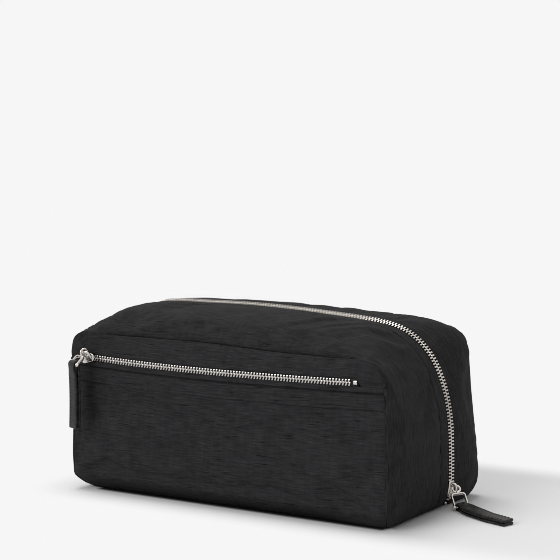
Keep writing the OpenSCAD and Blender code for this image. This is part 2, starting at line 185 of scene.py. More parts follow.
def mesh_object(name: str, verts: Array, faces: list | Array, uv: Array | None = None) -> Object:
    """Make an object from points in millimetres.

    Args:
        name: the piece's name.
        verts: points, one row each, in millimetres.
        faces: rows of point numbers.
        uv: one pair of metres per point, or None.

    Returns:
        The new object, at the origin.
    """
    mesh = bpy.data.meshes.new(name)
    mesh.from_pydata((np.asarray(verts) * MM).tolist(), [], [list(map(int, f)) for f in faces])
    if uv is not None:
        layer = mesh.uv_layers.new(name="cloth")
        loops = np.empty(len(mesh.loops), int)
        mesh.loops.foreach_get("vertex_index", loops)
        layer.data.foreach_set("uv", np.asarray(uv)[loops].astype(np.float32).ravel())
    mesh.polygons.foreach_set("use_smooth", [True] * len(mesh.polygons))
    mesh.update()
    mesh.validate()
    obj = bpy.data.objects.new(name, mesh)
    bpy.context.scene.collection.objects.link(obj)
    return obj


def grid_faces(nu: int, nv: int, wrap_u: bool = False, wrap_v: bool = False, flip: bool = False) -> Array:
    """Quads of a grid of nu by nv points, wrapped along u or v if asked.

    Args:
        nu: points along u.
        nv: points along v.
        wrap_u: True if u closes on itself.
        wrap_v: True if v closes on itself.
        flip: True to turn the quads over.

    Returns:
        Rows of four point numbers.
    """
    rows, columns = np.arange(nu if wrap_u else nu - 1), np.arange(nv if wrap_v else nv - 1)
    i, j = np.meshgrid(rows, columns, indexing="ij")
    h, k = (i + 1) % nu, (j + 1) % nv
    quads = np.stack([i * nv + j, h * nv + j, h * nv + k, i * nv + k], axis=-1).reshape(-1, 4)
    return quads[:, ::-1] if flip else quads


def uv_pairs(u: Array, v: Array) -> Array:
    """A pair (u, v) for each point of a grid, row by row."""
    return np.stack(np.meshgrid(u, v, indexing="ij"), axis=-1).reshape(-1, 2)


def cut_size(grid: Array) -> list[float]:
    """Width, length and area that a grid of cloth was cut to, in metres."""
    width = np.linalg.norm(np.diff(grid, axis=0), axis=-1).sum(axis=0).max()
    length = np.linalg.norm(np.diff(grid, axis=1), axis=-1).sum(axis=1).max()
    one, other = grid[1:, 1:] - grid[:-1, :-1], grid[1:, :-1] - grid[:-1, 1:]
    area = 0.5 * np.linalg.norm(np.cross(one, other), axis=-1).sum()
    return [float(width * MM), float(length * MM), float(min(area, width * length) * MM**2)]


def declare_sheet(obj: Object) -> None:
    """Read the size that sheet_object stored on a cloth piece; nothing is done with it."""
    width, length, area = obj["cut"]


def sheet_object(name: str, grid: Array, thick: float, flip: bool = False) -> Object:
    """Make a sheet from a grid of its outer points, with its thickness inwards.

    Its UV map holds the lengths along the grid's two middle lines, in metres.

    Args:
        name: the piece's name.
        grid: outer points in millimetres, shape (nu, nv, 3).
        thick: thickness in millimetres.
        flip: True if the grid's own normals point inwards.

    Returns:
        The new object with a Solidify modifier.
    """
    nu, nv, _ = grid.shape
    uv = uv_pairs(lengths(grid[:, nv // 2]) * MM, lengths(grid[nu // 2]) * MM)
    obj = mesh_object(name, grid.reshape(-1, 3), grid_faces(nu, nv, flip=flip), uv)
    wall = obj.modifiers.new("thickness", "SOLIDIFY")
    wall.thickness = thick * MM
    wall.offset = -1.0
    obj["cut"] = cut_size(grid)
    return obj


def tube_faces(n: int, m: int) -> list:
    """Quads of a tube of n rings of m points, with a cap on each end."""
    quads = grid_faces(n, m, wrap_v=True).tolist()
    return quads + [list(range(m)), [(n - 1) * m + k for k in reversed(range(m))]]


def sweep(path: Array, side: Array, up: Array, section: Array) -> Solid:
    """Carry a closed section along a path: point = path + a times side + b times up.

    Args:
        path: centre points, shape (n, 3).
        side: unit vectors across the path, shape (n, 3) or (3,).
        up: unit vectors out of the path, shape (n, 3) or (3,).
        section: pairs (a, b), shape (m, 2) or (n, m, 2), anticlockwise seen along the path.

    Returns:
        The points and the faces of the capped tube.
    """
    n = len(path)
    side, up = np.broadcast_to(side, (n, 3)), np.broadcast_to(up, (n, 3))
    section = np.broadcast_to(section, (n, *np.shape(section)[-2:]))
    pts = path[:, None] + section[..., :1] * side[:, None] + section[..., 1:] * up[:, None]
    return pts.reshape(-1, 3), tube_faces(n, section.shape[1])


def ring_section(width: float, height: float, count: int = 12, power: float = 2.0) -> Array:
    """Superellipse: half sizes times the signed 2/power root of cosine and sine.

    Args:
        width: full width.
        height: full height.
        count: number of points.
        power: 2 for an ellipse, more for squarer corners.

    Returns:
        Points of shape (count, 2).
    """
    a = np.linspace(0, 2 * np.pi, count, endpoint=False)
    c, s = np.cos(a), np.sin(a)
    x = np.sign(c) * np.abs(c) ** (2 / power) * width / 2
    y = np.sign(s) * np.abs(s) ** (2 / power) * height / 2
    return np.stack([x, y], axis=1)


def rings(sizes: Array, count: int, power: float = 2.0) -> Array:
    """A section for each ring of a tube: a superellipse times the ring's size, or its width and height."""
    return ring_section(1.0, 1.0, count, power)[None] * sizes.reshape(len(sizes), 1, -1)


def join(parts: list[Solid]) -> Solid:
    """Put several point and face lists together."""
    verts, faces, start = [], [], 0
    for v, f in parts:
        verts.append(np.asarray(v))
        faces += [[start + int(k) for k in row] for row in f]
        start += len(v)
    return np.vstack(verts), faces


def face_outwards(obj: Object) -> None:
    """Turn the faces of a closed mesh outwards."""
    bm = bmesh.new()
    bm.from_mesh(obj.data)
    bmesh.ops.recalc_face_normals(bm, faces=bm.faces)
    bm.to_mesh(obj.data)
    bm.free()
    obj.data.update()


def bevelled(obj: Object, width: float, angle: float) -> None:
    """Round an object's edges that are sharper than an angle in degrees by a bevel of that width."""
    bevel = obj.modifiers.new("edges", "BEVEL")
    bevel.width = width * MM
    bevel.segments = 2
    bevel.limit_method = "ANGLE"
    bevel.angle_limit = math.radians(angle)


@dataclass(frozen=True)
class Place:
    """A local frame: where its origin is, and its x, y and z directions as the columns of a matrix."""

    origin: Array
    axes: Array

    def put(self, local: Array) -> Array:
        """Carry local points into the bag's frame: origin plus axes times point."""
        return self.origin + np.asarray(local) @ self.axes.T


# ---------------------------------------------------------------- finishes


class Tree:
    """A node tree, with short ways to add and join nodes."""

    def __init__(self, tree: bpy.types.NodeTree) -> None:
        """Start with an empty tree."""
        self.tree = tree
        tree.nodes.clear()

    def add(self, kind: str, **values: object) -> bpy.types.Node:
        """Add a node; a value is set on the input socket of that name, or else on the node."""
        node = self.tree.nodes.new(kind)
        for key, value in values.items():
            label = key.title()
            if label in node.inputs:
                node.inputs[label].default_value = value
            else:
                setattr(node, key, value)
        return node

    def link(self, a: Socket, b: Socket) -> None:
        """Join two sockets."""
        self.tree.links.new(a, b)

    def ramp(
        self, value: Socket, low: float, high: float, a: float = 0.0, b: float = 1.0, kind: str = "SMOOTHSTEP"
    ) -> Socket:
        """Map a value from low..high to a..b, held outside.

        Args:
            value: the value.
            low, high: the span that is read.
            a, b: what its two ends become.
            kind: how the values between are eased.

        Returns:
            The mapped value.
        """
        node = self.add("ShaderNodeMapRange", interpolation_type=kind)
        for name, number in (("From Min", low), ("From Max", high), ("To Min", a), ("To Max", b)):
            node.inputs[name].default_value = number
        self.link(value, node.inputs["Value"])
        return node.outputs["Result"]

    def math(self, kind: str, a: Socket, b: Socket | float) -> Socket:
        """Combine two values, or a value and a number."""
        node = self.add("ShaderNodeMath", operation=kind)
        self.link(a, node.inputs[0])
        if isinstance(b, (int, float)):
            node.inputs[1].default_value = b
        else:
            self.link(b, node.inputs[1])
        return node.outputs[0]

    def mix(self, factor: Socket, a: tuple | Socket, b: tuple | Socket) -> Socket:
        """Blend two colours, given as numbers or by a node, by a value."""
        node = self.add("ShaderNodeMix", data_type="RGBA")
        self.link(factor, node.inputs[0])
        for slot, colour in ((6, a), (7, b)):
            if isinstance(colour, tuple):
                node.inputs[slot].default_value = (*colour, 1.0)
            else:
                self.link(colour, node.inputs[slot])
        return node.outputs[2]

    def mix_shaders(self, factor: Socket, a: Socket, b: Socket) -> Socket:
        """Blend two shaders by a value."""
        node = self.add("ShaderNodeMixShader")
        for start, end in zip((factor, a, b), node.inputs):
            self.link(start, end)
        return node.outputs[0]


class Graph(Tree):
    """A material's node tree round one Principled surface."""

    SOCKETS = {
        "base": "Base Color", "metal": "Metallic", "rough": "Roughness", "sheen": "Sheen Weight",
        "sheen_rough": "Sheen Roughness", "specular": "Specular IOR Level",
    }

    def __init__(self, name: str) -> None:
        """Start a material with an empty Principled surface."""
        self.material = bpy.data.materials.new(name)
        self.material.use_nodes = True
        super().__init__(self.material.node_tree)
        self.shader = self.add("ShaderNodeBsdfPrincipled")
        self.output = self.add("ShaderNodeOutputMaterial")
        self.link(self.shader.outputs["BSDF"], self.output.inputs["Surface"])

    def set(self, **values: object) -> None:
        """Set constants on the surface's own sockets."""
        for key, value in values.items():
            self.shader.inputs[self.SOCKETS[key]].default_value = value

    def coords(self, uv: bool, scale: tuple[float, float, float]) -> Socket:
        """Coordinates in metres times scale: the cloth's own UV map, or the object's space."""
        if uv:
            start = self.add("ShaderNodeUVMap", uv_map="cloth").outputs["UV"]
        else:
            start = self.add("ShaderNodeTexCoord").outputs["Object"]
        mapping = self.add("ShaderNodeMapping", scale=scale)
        self.link(start, mapping.inputs["Vector"])
        return mapping.outputs["Vector"]

    def noise(self, vector: Socket, detail: float = 3.0, rough: float = 0.5) -> Socket:
        """Noise value on the given coordinates."""
        node = self.add("ShaderNodeTexNoise", scale=1.0, detail=detail, roughness=rough)
        self.link(vector, node.inputs["Vector"])
        return node.outputs["Fac"]

    def solid_noise(self, per_metre: float, detail: float = 3.0, rough: float = 0.5) -> Socket:
        """Noise through the object's space, with so many spots in a metre."""
        return self.noise(self.coords(False, (per_metre, per_metre, per_metre)), detail, rough)

    def weave(self, pitch: float) -> Socket:
        """Cloth coordinates that count threads of that pitch in millimetres both ways."""
        return self.coords(True, (1 / (pitch * MM), 1 / (pitch * MM), 1))

    def bands(self, vector: Socket, axis: str) -> Socket:
        """Sine bands across an axis, one for every unit of the coordinates."""
        node = self.add("ShaderNodeTexWave", scale=math.pi / 10, bands_direction=axis)
        self.link(vector, node.inputs["Vector"])
        return node.outputs["Fac"]

    def bump(self, height: Socket, distance: float, under: Socket | None = None) -> Socket:
        """Bump of that height in metres, on top of another normal."""
        node = self.add("ShaderNodeBump", distance=distance, strength=1.0)
        self.link(height, node.inputs["Height"])
        if under is not None:
            self.link(under, node.inputs["Normal"])
        return node.outputs["Normal"]

    def surface(self, **sockets: Socket) -> bpy.types.Material:
        """Join sockets to the surface by its socket names and return the material."""
        for name, socket in sockets.items():
            self.link(socket, self.shader.inputs[name.replace("_", " ")])
        return self.material


@dataclass(frozen=True)
class Speckle:
    """Noise on cloth: the size of its spots along and across, its detail, and the span it is read over."""

    along: float
    across: float
    detail: float = 2.0
    rough: float = 0.5
    span: tuple[float, float] = (0.3, 0.7)

    def noise(self, g: Graph) -> Socket:
        """The plain noise."""
        scale = (1 / (self.along * MM), 1 / (self.across * MM), 1)
        return g.noise(g.coords(True, scale), self.detail, self.rough)

    def read(self, g: Graph, value: Socket, a: float = 0.0, b: float = 1.0) -> Socket:
        """The noise mapped from its span to a..b."""
        return g.ramp(value, *self.span, a, b)


@dataclass(frozen=True)
class Nylon:
    """Matt woven nylon: crinkled plain weave, short dark and light slubs along the weft, faint warp bands
    and broad uneven blocks of tone."""

    name: str = "black_nylon"
    dark: tuple = (0.0100, 0.0098, 0.0106)
    light: tuple = (0.0412, 0.0400, 0.0424)
    slub: tuple = (0.0720, 0.0700, 0.0730)
    pitch: float = 0.62
    crease: float = 0.55
    blocks: Speckle = Speckle(15, 13, 2.0, 0.55, (0.32, 0.68))
    warp: Speckle = Speckle(3.2, 20, 2.0, 0.5, (0.38, 0.62))
    weft: Speckle = Speckle(12, 1, 2.0, 0.55, (0.34, 0.66))
    grit: Speckle = Speckle(1, 0.7, 2.0, 0.6)
    slubs: Speckle = Speckle(17, 9, 1.0, 0.5, (0.50, 0.62))
    line: Speckle = Speckle(24, 0.9, 1.0, 0.5, (0.27, 0.34))
    patch: Speckle = Speckle(40, 16, 2.0, 0.5, (0.44, 0.52))
    crinkle: Speckle = Speckle(7, 1.7, 4.0, 0.6)
    folds: Speckle = Speckle(30, 20, 3.0, 0.45)
    tones: tuple = ((0.08, 0.20), (0.0, 0.09), (0.0, 0.34), (0.0, 0.18))
    slub_span: tuple = (0.56, 0.72)
    slub_share: float = 0.16
    line_share: float = 0.6
    heights: tuple = (0.08, 0.22, 0.26, -0.35)

    def material(self) -> bpy.types.Material:
        """Build the node material: tone is the sum of four speckles less the dark slubs."""
        g = Graph(self.name)
        g.set(rough=0.75, sheen=0.0, specular=0.05)
        layers = (self.blocks, self.warp, self.weft, self.grit)
        noises = [layer.noise(g) for layer in layers]
        parts = [layer.read(g, n, *span) for layer, n, span in zip(layers, noises, self.tones)]
        tone = parts[0]
        for part in parts[1:]:
            tone = g.math("ADD", tone, part)
        weft = noises[2]
        where = self.slubs.read(g, self.slubs.noise(g))
        lit = g.math("MULTIPLY", g.ramp(weft, *self.slub_span, 0.0, self.slub_share), where)
        line = self.line.read(g, self.line.noise(g), 1.0, 0.0)
        line = g.math("MULTIPLY", line, self.patch.read(g, self.patch.noise(g)))
        tone = g.math("SUBTRACT", tone, g.math("MULTIPLY", line, self.line_share))
        colour = g.mix(lit, g.mix(tone, self.dark, self.light), self.slub)
        weave = g.weave(self.pitch)
        normal = g.bump(g.math("MULTIPLY", g.bands(weave, "X"), g.bands(weave, "Y")), self.heights[0] * MM)
        for height, deep in zip((self.crinkle.noise(g), weft, line), self.heights[1:]):
            normal = g.bump(height, deep * MM, normal)
        return g.surface(Base_Color=colour, Normal=g.bump(self.folds.noise(g), self.crease * MM, normal))


@dataclass(frozen=True)
class PlainCloth:
    """Smooth lining, tape, webbing or elastic: ribs along or across, with a little mottling."""

    name: str
    base: tuple
    rib: float = 0.6
    ribs_across: bool = True
    rough: float = 0.7
    deep: float = 0.08
    mottle: tuple = (180, 240, 1)
    shade: float = 0.72

    def material(self) -> bpy.types.Material:
        """Build the node material."""
        g = Graph(self.name)
        g.set(rough=self.rough, sheen=0.1, sheen_rough=0.5, specular=0.35)
        spots = g.noise(g.coords(True, self.mottle), 4.0)
        darker = tuple(self.shade * c for c in self.base)
        weave = g.weave(self.rib)
        height = g.bands(weave, "Y")
        if self.ribs_across:
            height = g.math("ADD", g.bands(weave, "X"), height)
        colour = g.mix(g.ramp(spots, 0.3, 0.7), darker, self.base)
        return g.surface(Base_Color=colour, Normal=g.bump(height, self.deep * MM))


@dataclass(frozen=True)
class NetCloth:
    """Open net: two sets of bands leave round holes."""

    name: str = "black_mesh"
    base: tuple = (0.03, 0.03, 0.032)
    hole: float = 1.6

    def material(self) -> bpy.types.Material:
        """Build the node material, with its holes in the alpha."""
        g = Graph(self.name)
        g.set(base=(*self.base, 1.0), rough=0.7, sheen=0.1)
        net = g.weave(self.hole)
        holes = g.math("MULTIPLY", g.bands(net, "X"), g.bands(net, "Y"))
        return g.surface(Alpha=g.ramp(holes, 0.34, 0.42, 1.0, 0.0), Normal=g.bump(holes, -0.2 * MM))


@dataclass(frozen=True)
class Leather:
    """Smooth black leather with a fine pebble grain, a little worn."""

    name: str
    base: tuple = (0.0075, 0.0073, 0.0075)
    worn: tuple = (0.040, 0.0390, 0.0390)
    rough: float = 0.42
    pebbles: float = 2200
    rubs: float = 260

    def material(self) -> bpy.types.Material:
        """Build the node material."""
        g = Graph(self.name)
        g.set(specular=0.22)
        where = g.coords(False, (self.pebbles, self.pebbles, self.pebbles))
        cells = g.add("ShaderNodeTexVoronoi", scale=1.0, feature="SMOOTH_F1")
        g.link(where, cells.inputs["Vector"])
        wear = g.solid_noise(self.rubs, 5.0, 0.6)
        colour = g.mix(g.ramp(wear, 0.45, 0.75), self.base, self.worn)
        rough = g.ramp(wear, 0.2, 0.8, self.rough - 0.08, self.rough + 0.12)
        grain = g.bump(cells.outputs["Distance"], 0.08 * MM)
        return g.surface(Base_Color=colour, Roughness=rough, Normal=g.bump(wear, 0.2 * MM, grain))


@dataclass(frozen=True)
class Metal:
    """Polished nickel plate with faint handling marks."""

    name: str
    base: tuple
    rough: float
    marks: float = 900

    def material(self) -> bpy.types.Material:
        """Build the node material."""
        g = Graph(self.name)
        g.set(base=(*self.base, 1.0), metal=1.0)
        marks = g.solid_noise(self.marks, 4.0, 0.6)
        rough = g.ramp(marks, 0.3, 0.7, self.rough - 0.07, self.rough + 0.09)
        return g.surface(Roughness=rough, Normal=g.bump(marks, 0.02 * MM))


@dataclass(frozen=True)
class Board:
    """Stiff grey plastic board with a fine leathery grain."""

    name: str = "base_board_plastic"
    base: tuple = (0.02, 0.02, 0.021)
    grain: float = 1500

    def material(self) -> bpy.types.Material:
        """Build the node material."""
        g = Graph(self.name)
        g.set(base=(*self.base, 1.0), rough=0.6)
        return g.surface(Normal=g.bump(g.solid_noise(self.grain), 0.1 * MM))


class Finish(Enum):
    """Every finish on the bag, with the record's material slot that it belongs to."""

    NYLON = ("black_nylon", Nylon())
    FACING = ("black_nylon", Nylon(name="black_nylon_strip", crease=0.5))
    SEAM = ("piping", PlainCloth("seam_cord", (0.014, 0.014, 0.015), rib=0.7))
    LINING = ("lining", PlainCloth("grey_lining", (0.055, 0.056, 0.060), rib=0.45, rough=0.5, deep=0.03))
    MESH = ("mesh", NetCloth())
    ELASTIC = (
        "binding", PlainCloth("ribbed_elastic", (0.02, 0.02, 0.021), rib=1.1, ribs_across=False, deep=0.2),
    )
    WEBBING = ("webbing", PlainCloth("black_webbing", (0.022, 0.022, 0.023), rib=1.4, deep=0.25))
    TAPE = ("zip_tape", PlainCloth("zip_tape", (0.006, 0.006, 0.0065), rib=0.8))
    THREAD = ("black_nylon", PlainCloth("sewing_thread", (0.02, 0.02, 0.022), rib=0.3, deep=0.03))
    TEETH = ("zip_metal", Metal("nickel_teeth", (0.56, 0.535, 0.51), 0.24))
    NICKEL = ("nickel", Metal("nickel_castings", (0.64, 0.615, 0.59), 0.2))
    WIRE = ("hook_metal", Metal("nickel_wire", (0.76, 0.76, 0.75), 0.22))
    LEATHER = ("leather", Leather("black_leather"))
    BOARD = ("board", Board())


SEWN = (Finish.NYLON, Finish.FACING, Finish.LINING, Finish.MESH)


@dataclass
class Workshop:
    """Makes each finish once, dresses pieces, mounts them on their bodies and reports them."""

    made: dict[Finish, bpy.types.Material] = field(default_factory=dict)

    def dress(self, obj: Object, finish: Finish) -> None:
        """Give a piece one finish."""
        if finish not in self.made:
            self.made[finish] = finish.value[1].material()
        obj.data.materials.clear()
        obj.data.materials.append(self.made[finish])

    def mount(self, obj: Object, finish: Finish, body: str, *nodes: str) -> None:
        """Dress a piece, let it ride on a body and hide the CAD nodes that it stands for.

        Args:
            obj: the finished piece.
            finish: its finish.
            body: the CAD body that it moves with.
            nodes: CAD nodes that it replaces.
        """
        self.dress(obj, finish)
        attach(obj, body)
        if nodes:
            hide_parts(*nodes)
        if finish in SEWN and "cut" in obj:
            declare_sheet(obj)
        LOG.info("%s on %s, %d faces", obj.name, body, len(obj.data.polygons))

    def cloth(
        self, name: str, grid: Array, thick: float, finish: Finish, body: str, node: str, flip: bool = False
    ) -> None:
        """Make a sheet from its grid, as sheet_object does, and mount it."""
        self.mount(sheet_object(name, grid, thick, flip), finish, body, node)

    def solid(
        self, name: str, shape: Solid, finish: Finish, body: str, node: str,
        uv: Array | None = None, edge: tuple[float, float] | None = None,
    ) -> None:
        """Make and mount a closed piece.

        Args:
            name: the piece's name.
            shape: its points and faces.
            finish: its finish.
            body: the CAD body that it moves with.
            node: the CAD node that it replaces.
            uv: one pair of metres per point, or None.
            edge: width and least angle of a bevel, or None.
        """
        obj = mesh_object(name, *shape, uv)
        face_outwards(obj)
        if edge:
            bevelled(obj, *edge)
        self.mount(obj, finish, body, node)

    def sew(self, name: str, line: Array, outward: Array, body: str, thread: "Thread | None" = None) -> None:
        """Make and mount a row of stitches along a line of points.

        Args:
            name: the piece's name.
            line: points along the seam.
            outward: direction out of the cloth at each point.
            body: the CAD body that it moves with.
            thread: the stitches' sizes, or None for plain seams.
        """
        self.mount((thread or Thread()).row(name, line, outward), Finish.THREAD, body)


# ---------------------------------------------------------------- cloth work


@dataclass(frozen=True)
class Dip:
    """A groove along a seam: how deep it is and how far it reaches, in millimetres."""

    deep: float = 0.8
    reach: float = 2.2

    def at(self, distance: Array) -> Array:
        """Depth at a distance from the seam, as a bell."""
        return -self.deep * bell(distance, self.reach)


def across(grid: Array, first: bool, axis: int) -> Array:
    """Distance of each grid point from the grid's first or last line along one axis.

    Args:
        grid: points in millimetres.
        first: True to measure from the first line.
        axis: the axis that the distance is measured along.

    Returns:
        One distance for each grid point.
    """
    steps = np.linalg.norm(np.diff(grid, axis=axis), axis=-1)
    zero = np.zeros_like(np.take(steps, [0], axis=axis))
    run = np.concatenate([zero, np.cumsum(steps, axis=axis)], axis=axis)
    return run if first else np.take(run, [-1], axis=axis) - run


def push(grid: Array, amount: Array, outward: Array) -> Array:
    """Move grid points along their normals, turned to the side that outward points to.

    Args:
        grid: points in millimetres.
        amount: how far each point moves.
        outward: direction out of the bag, for each point or for all.

    Returns:
        The moved grid.
    """
    n = grid_normals(grid)
    n *= np.sign(np.sum(n * outward, axis=-1, keepdims=True))
    return grid + amount[..., None] * n


def cushion_cloth(name: str, grid: Array, flip: bool, slack: float, pressure: float, cap: float) -> Array:
    """Let a panel settle as cloth sewn down all round its edge, and return its grid.

    Args:
        name: name of the working copy.
        grid: points in millimetres.
        flip: True if the grid's normals point inwards.
        slack: share by which the cloth is larger than its frame.
        pressure: outward pressure.
        cap: furthest that a point may move, in millimetres.

    Returns:
        The settled grid in millimetres, the same shape as the first.
    """
    nu, nv, _ = grid.shape
    obj = mesh_object(name, grid.reshape(-1, 3), grid_faces(nu, nv, flip=flip))
    edge = np.zeros((nu, nv), bool)
    edge[[0, -1], :] = True
    edge[:, [0, -1]] = True
    obj.vertex_groups.new(name="sewn").add(np.flatnonzero(edge.ravel()).tolist(), 1.0, "REPLACE")
    cloth = obj.modifiers.new("cloth", "CLOTH")
    kit = cloth.settings
    kit.quality = 6
    kit.mass = 0.2
    kit.bending_stiffness = 0.35
    kit.shear_stiffness = 6
    kit.tension_stiffness = kit.compression_stiffness = 18
    kit.vertex_group_mass = "sewn"
    kit.shrink_min = kit.shrink_max = -slack
    kit.use_pressure = True
    kit.uniform_pressure_force = pressure
    kit.effector_weights.gravity = 0.0
    cloth.collision_settings.use_collision = cloth.collision_settings.use_self_collision = False
    for number in range(1, 21):
        bpy.context.scene.frame_set(number)
    shaped = obj.evaluated_get(bpy.context.evaluated_depsgraph_get()).data
    moved = np.empty(nu * nv * 3, np.float32)
    shaped.vertices.foreach_get("co", moved)
    bpy.context.scene.frame_set(1)
    bpy.data.objects.remove(obj)
    step = moved.reshape(nu, nv, 3) / MM - grid
    far = np.linalg.norm(step, axis=-1, keepdims=True)
    return grid + step * np.minimum(1.0, cap / np.maximum(far, 1e-6))


def scatter(local: Array, faces: Array | list, centre: Array, *axes: Array) -> Solid:
    """Copy a small shape to many places, each copy turned to the three directions given there.

    Args:
        local: the shape's points.
        faces: the shape's faces.
        centre: where each copy goes.
        axes: the copies' x, y and z directions.

    Returns:
        The points and faces of all the copies.
    """
    pts = centre[:, None] + sum(local[:, k, None] * axes[k][:, None] for k in range(3))
    rows = [[int(k) + i * len(local) for k in f] for i in range(len(centre)) for f in faces]
    return pts.reshape(-1, 3), rows


@dataclass(frozen=True)
class Thread:
    """Sewing thread: how far apart its stitches are, how thick it is and how high it lies over the seam."""

    pitch: float = 2.4
    size: float = 0.34
    lift: float = 0.05

    def row(self, name: str, path: Array, outward: Array) -> Object:
        """Lay short rounded grains along a path.

        Args:
            name: the piece's name.
            path: points in millimetres along the seam.
            outward: direction out of the cloth at each point.

        Returns:
            One object that holds all the stitches.
        """
        at = np.arange(self.pitch / 2, lengths(path)[-1] - self.pitch / 2, self.pitch)
        along = unit(resample(path, at + 0.3) - resample(path, at - 0.3))
        out = unit(resample(path, at, outward))
        half = self.pitch * 0.38
        rows = ((-half, 0.15, -0.9), (-half * 0.5, 1, 0.2), (half * 0.5, 1, 0.2), (half, 0.15, -0.9))
        ring = ring_section(self.size, self.size, 4)
        local = [[x, a * k, b * k + z * self.size / 2 + self.lift] for x, k, z in rows for a, b in ring]
        faces, side = grid_faces(4, 4, wrap_v=True), unit(np.cross(out, along))
        shape = scatter(np.array(local), faces, resample(path, at), along, side, out)
        return mesh_object(name, *shape)


@dataclass
class Zip:
    """A metal tooth zip: two chains of teeth that mesh and a tape behind each."""

    pitch: float = 2.49
    reach: float = 2.2
    head: float = 0.4
    wide: float = 1.2
    thick: float = 0.9
    slant: float = 0.36
    rise: float = 0.35
    tape_thick: float = 0.5
    tape_at: tuple = (0.4, 0.9, 1.6, 2.2, 2.8, 3.4, 4.2)
    tape_deep: tuple = (1.7, 1.25, 1.2, 1.6, 2.2, 2.3, 2.3)

    def tooth(self) -> Solid:
        """One tooth: a waisted outline with a rounded head, and a chamfer round its top and bottom."""
        w = self.wide / 2
        left = np.array([[-w, self.reach], [-w * 0.86, 0.8], [-w, 0.1], [-w * 0.6, -self.head]])
        outline = np.vstack([left, left[::-1] * (-1, 1)])
        middle = outline.mean(axis=0)
        levels = ((-0.5, 0.72), (-0.36, 1.0), (0.34, 1.0), (0.5, 0.70))
        z, k = np.array(levels).T[..., None]
        x, y = middle[:, None, None] + (outline - middle).T[:, None] * k
        return points(x, y, z * self.thick).reshape(-1, 3), tube_faces(len(levels), len(outline))

    def chain(self, name: str, path: Array, out: Array, near_side: bool) -> Object:
        """Teeth along a path, half a pitch apart from those of the other side.

        Args:
            name: the piece's name.
            path: points along the middle of the zip.
            out: direction out of the cloth at each point.
            near_side: True for the side that lies along cross(out, path).

        Returns:
            One object that holds the side's teeth.
        """
        hand, first = (1, 0.5) if near_side else (-1, 1.0)
        at = np.arange(self.pitch * first, lengths(path)[-1] - self.pitch / 2, self.pitch)
        n = unit(resample(path, at, out))
        along = unit(resample(path, at + 0.5) - resample(path, at - 0.5))
        local, faces = self.tooth()
        local[:, 0] += hand * self.slant * local[:, 1]
        local[:, 2] += self.rise
        side = hand * unit(np.cross(n, along))
        obj = mesh_object(name, *scatter(local, faces, resample(path, at), along, side, n))
        face_outwards(obj)
        obj.data.polygons.foreach_set("use_smooth", [False] * len(obj.data.polygons))
        return obj

    def tape(self, name: str, path: Array, out: Array, near_side: bool) -> Object:
        """Woven tape behind one side of the teeth, with a round bead under them.

        Args:
            name: the piece's name.
            path: points along the middle of the zip.
            out: direction out of the cloth at each point.
            near_side: True for the side that lies along cross(out, path).

        Returns:
            The tape.
        """
        n = unit(out)
        side = unit(np.cross(n, heading(path))) * (1 if near_side else -1)
        v, deep = np.array([self.tape_at, self.tape_deep])[:, None, :, None]
        grid = path[:, None] + v * side[:, None] - deep * n[:, None]
        return sheet_object(name, grid, self.tape_thick, flip=near_side)

    def mount(
        self, shop: Workshop, word: str, half: str, near: bool, body: str, tape: tuple, teeth: tuple
    ) -> None:
        """Make and mount one side of a zip.

        Args:
            shop: the workshop.
            word: which zip it is.
            half: which side of the zip it is.
            near: True for the side that lies along cross(out, path).
            body: the CAD body that it moves with.
            tape: the tape's path and its directions out of the cloth.
            teeth: the same for the teeth.
        """
        band = self.tape(f"{word}_{half}_tape", *tape, near)
        shop.mount(band, Finish.TAPE, body, f"{word}_tape_{half}")
        row = self.chain(f"{word}_{half}_teeth", *teeth, near)
        shop.mount(row, Finish.TEETH, body, f"{word}_teeth_{half}")


# ---------------------------------------------------------------- the bag's outer form


@dataclass(frozen=True)
class Arch:
    """The bag's outline at one depth: a smooth curve through (x, z) knots, from left foot to right foot."""

    knots: tuple[tuple[float, float], ...]
    steps: int = 16

    def dense(self) -> Array:
        """Cubic Hermite curve through the knots, with slopes taken over the chord lengths."""
        p = np.array(self.knots)
        t = lengths(p)
        m = np.gradient(p, t, axis=0)
        h = np.diff(t)[:, None, None]
        k = np.linspace(0, 1, self.steps, endpoint=False)[None, :, None]
        a, b, ma, mb = p[:-1, None], p[1:, None], m[:-1, None], m[1:, None]
        spans = (2 * k**3 - 3 * k**2 + 1) * a + (k**3 - 2 * k**2 + k) * h * ma
        spans = spans + (3 * k**2 - 2 * k**3) * b + (k**3 - k**2) * h * mb
        return np.vstack([spans.reshape(-1, 2), p[-1:]])

    def at(self, share: Array) -> Array:
        """Points at shares 0 to 1 of the curve's length, with the share's shape and a last axis of 2."""
        line = self.dense()
        along = lengths(line)
        at = np.asarray(share) * along[-1]
        return np.stack([np.interp(at, along, line[:, k]) for k in (0, 1)], axis=-1)

    def share_at(self, z: float, right: bool) -> float:
        """Share of the curve's length at which one of its sides passes a height."""
        s = np.linspace(0.5, 1.0 if right else 0.0, 2000)
        return float(np.interp(-z, -self.at(s)[:, 1], s))

    def above(self, z: float, count: int) -> Array:
        """Shares spread evenly over the part of the curve that lies above a height."""
        return np.linspace(self.share_at(z, False), self.share_at(z, True), count)


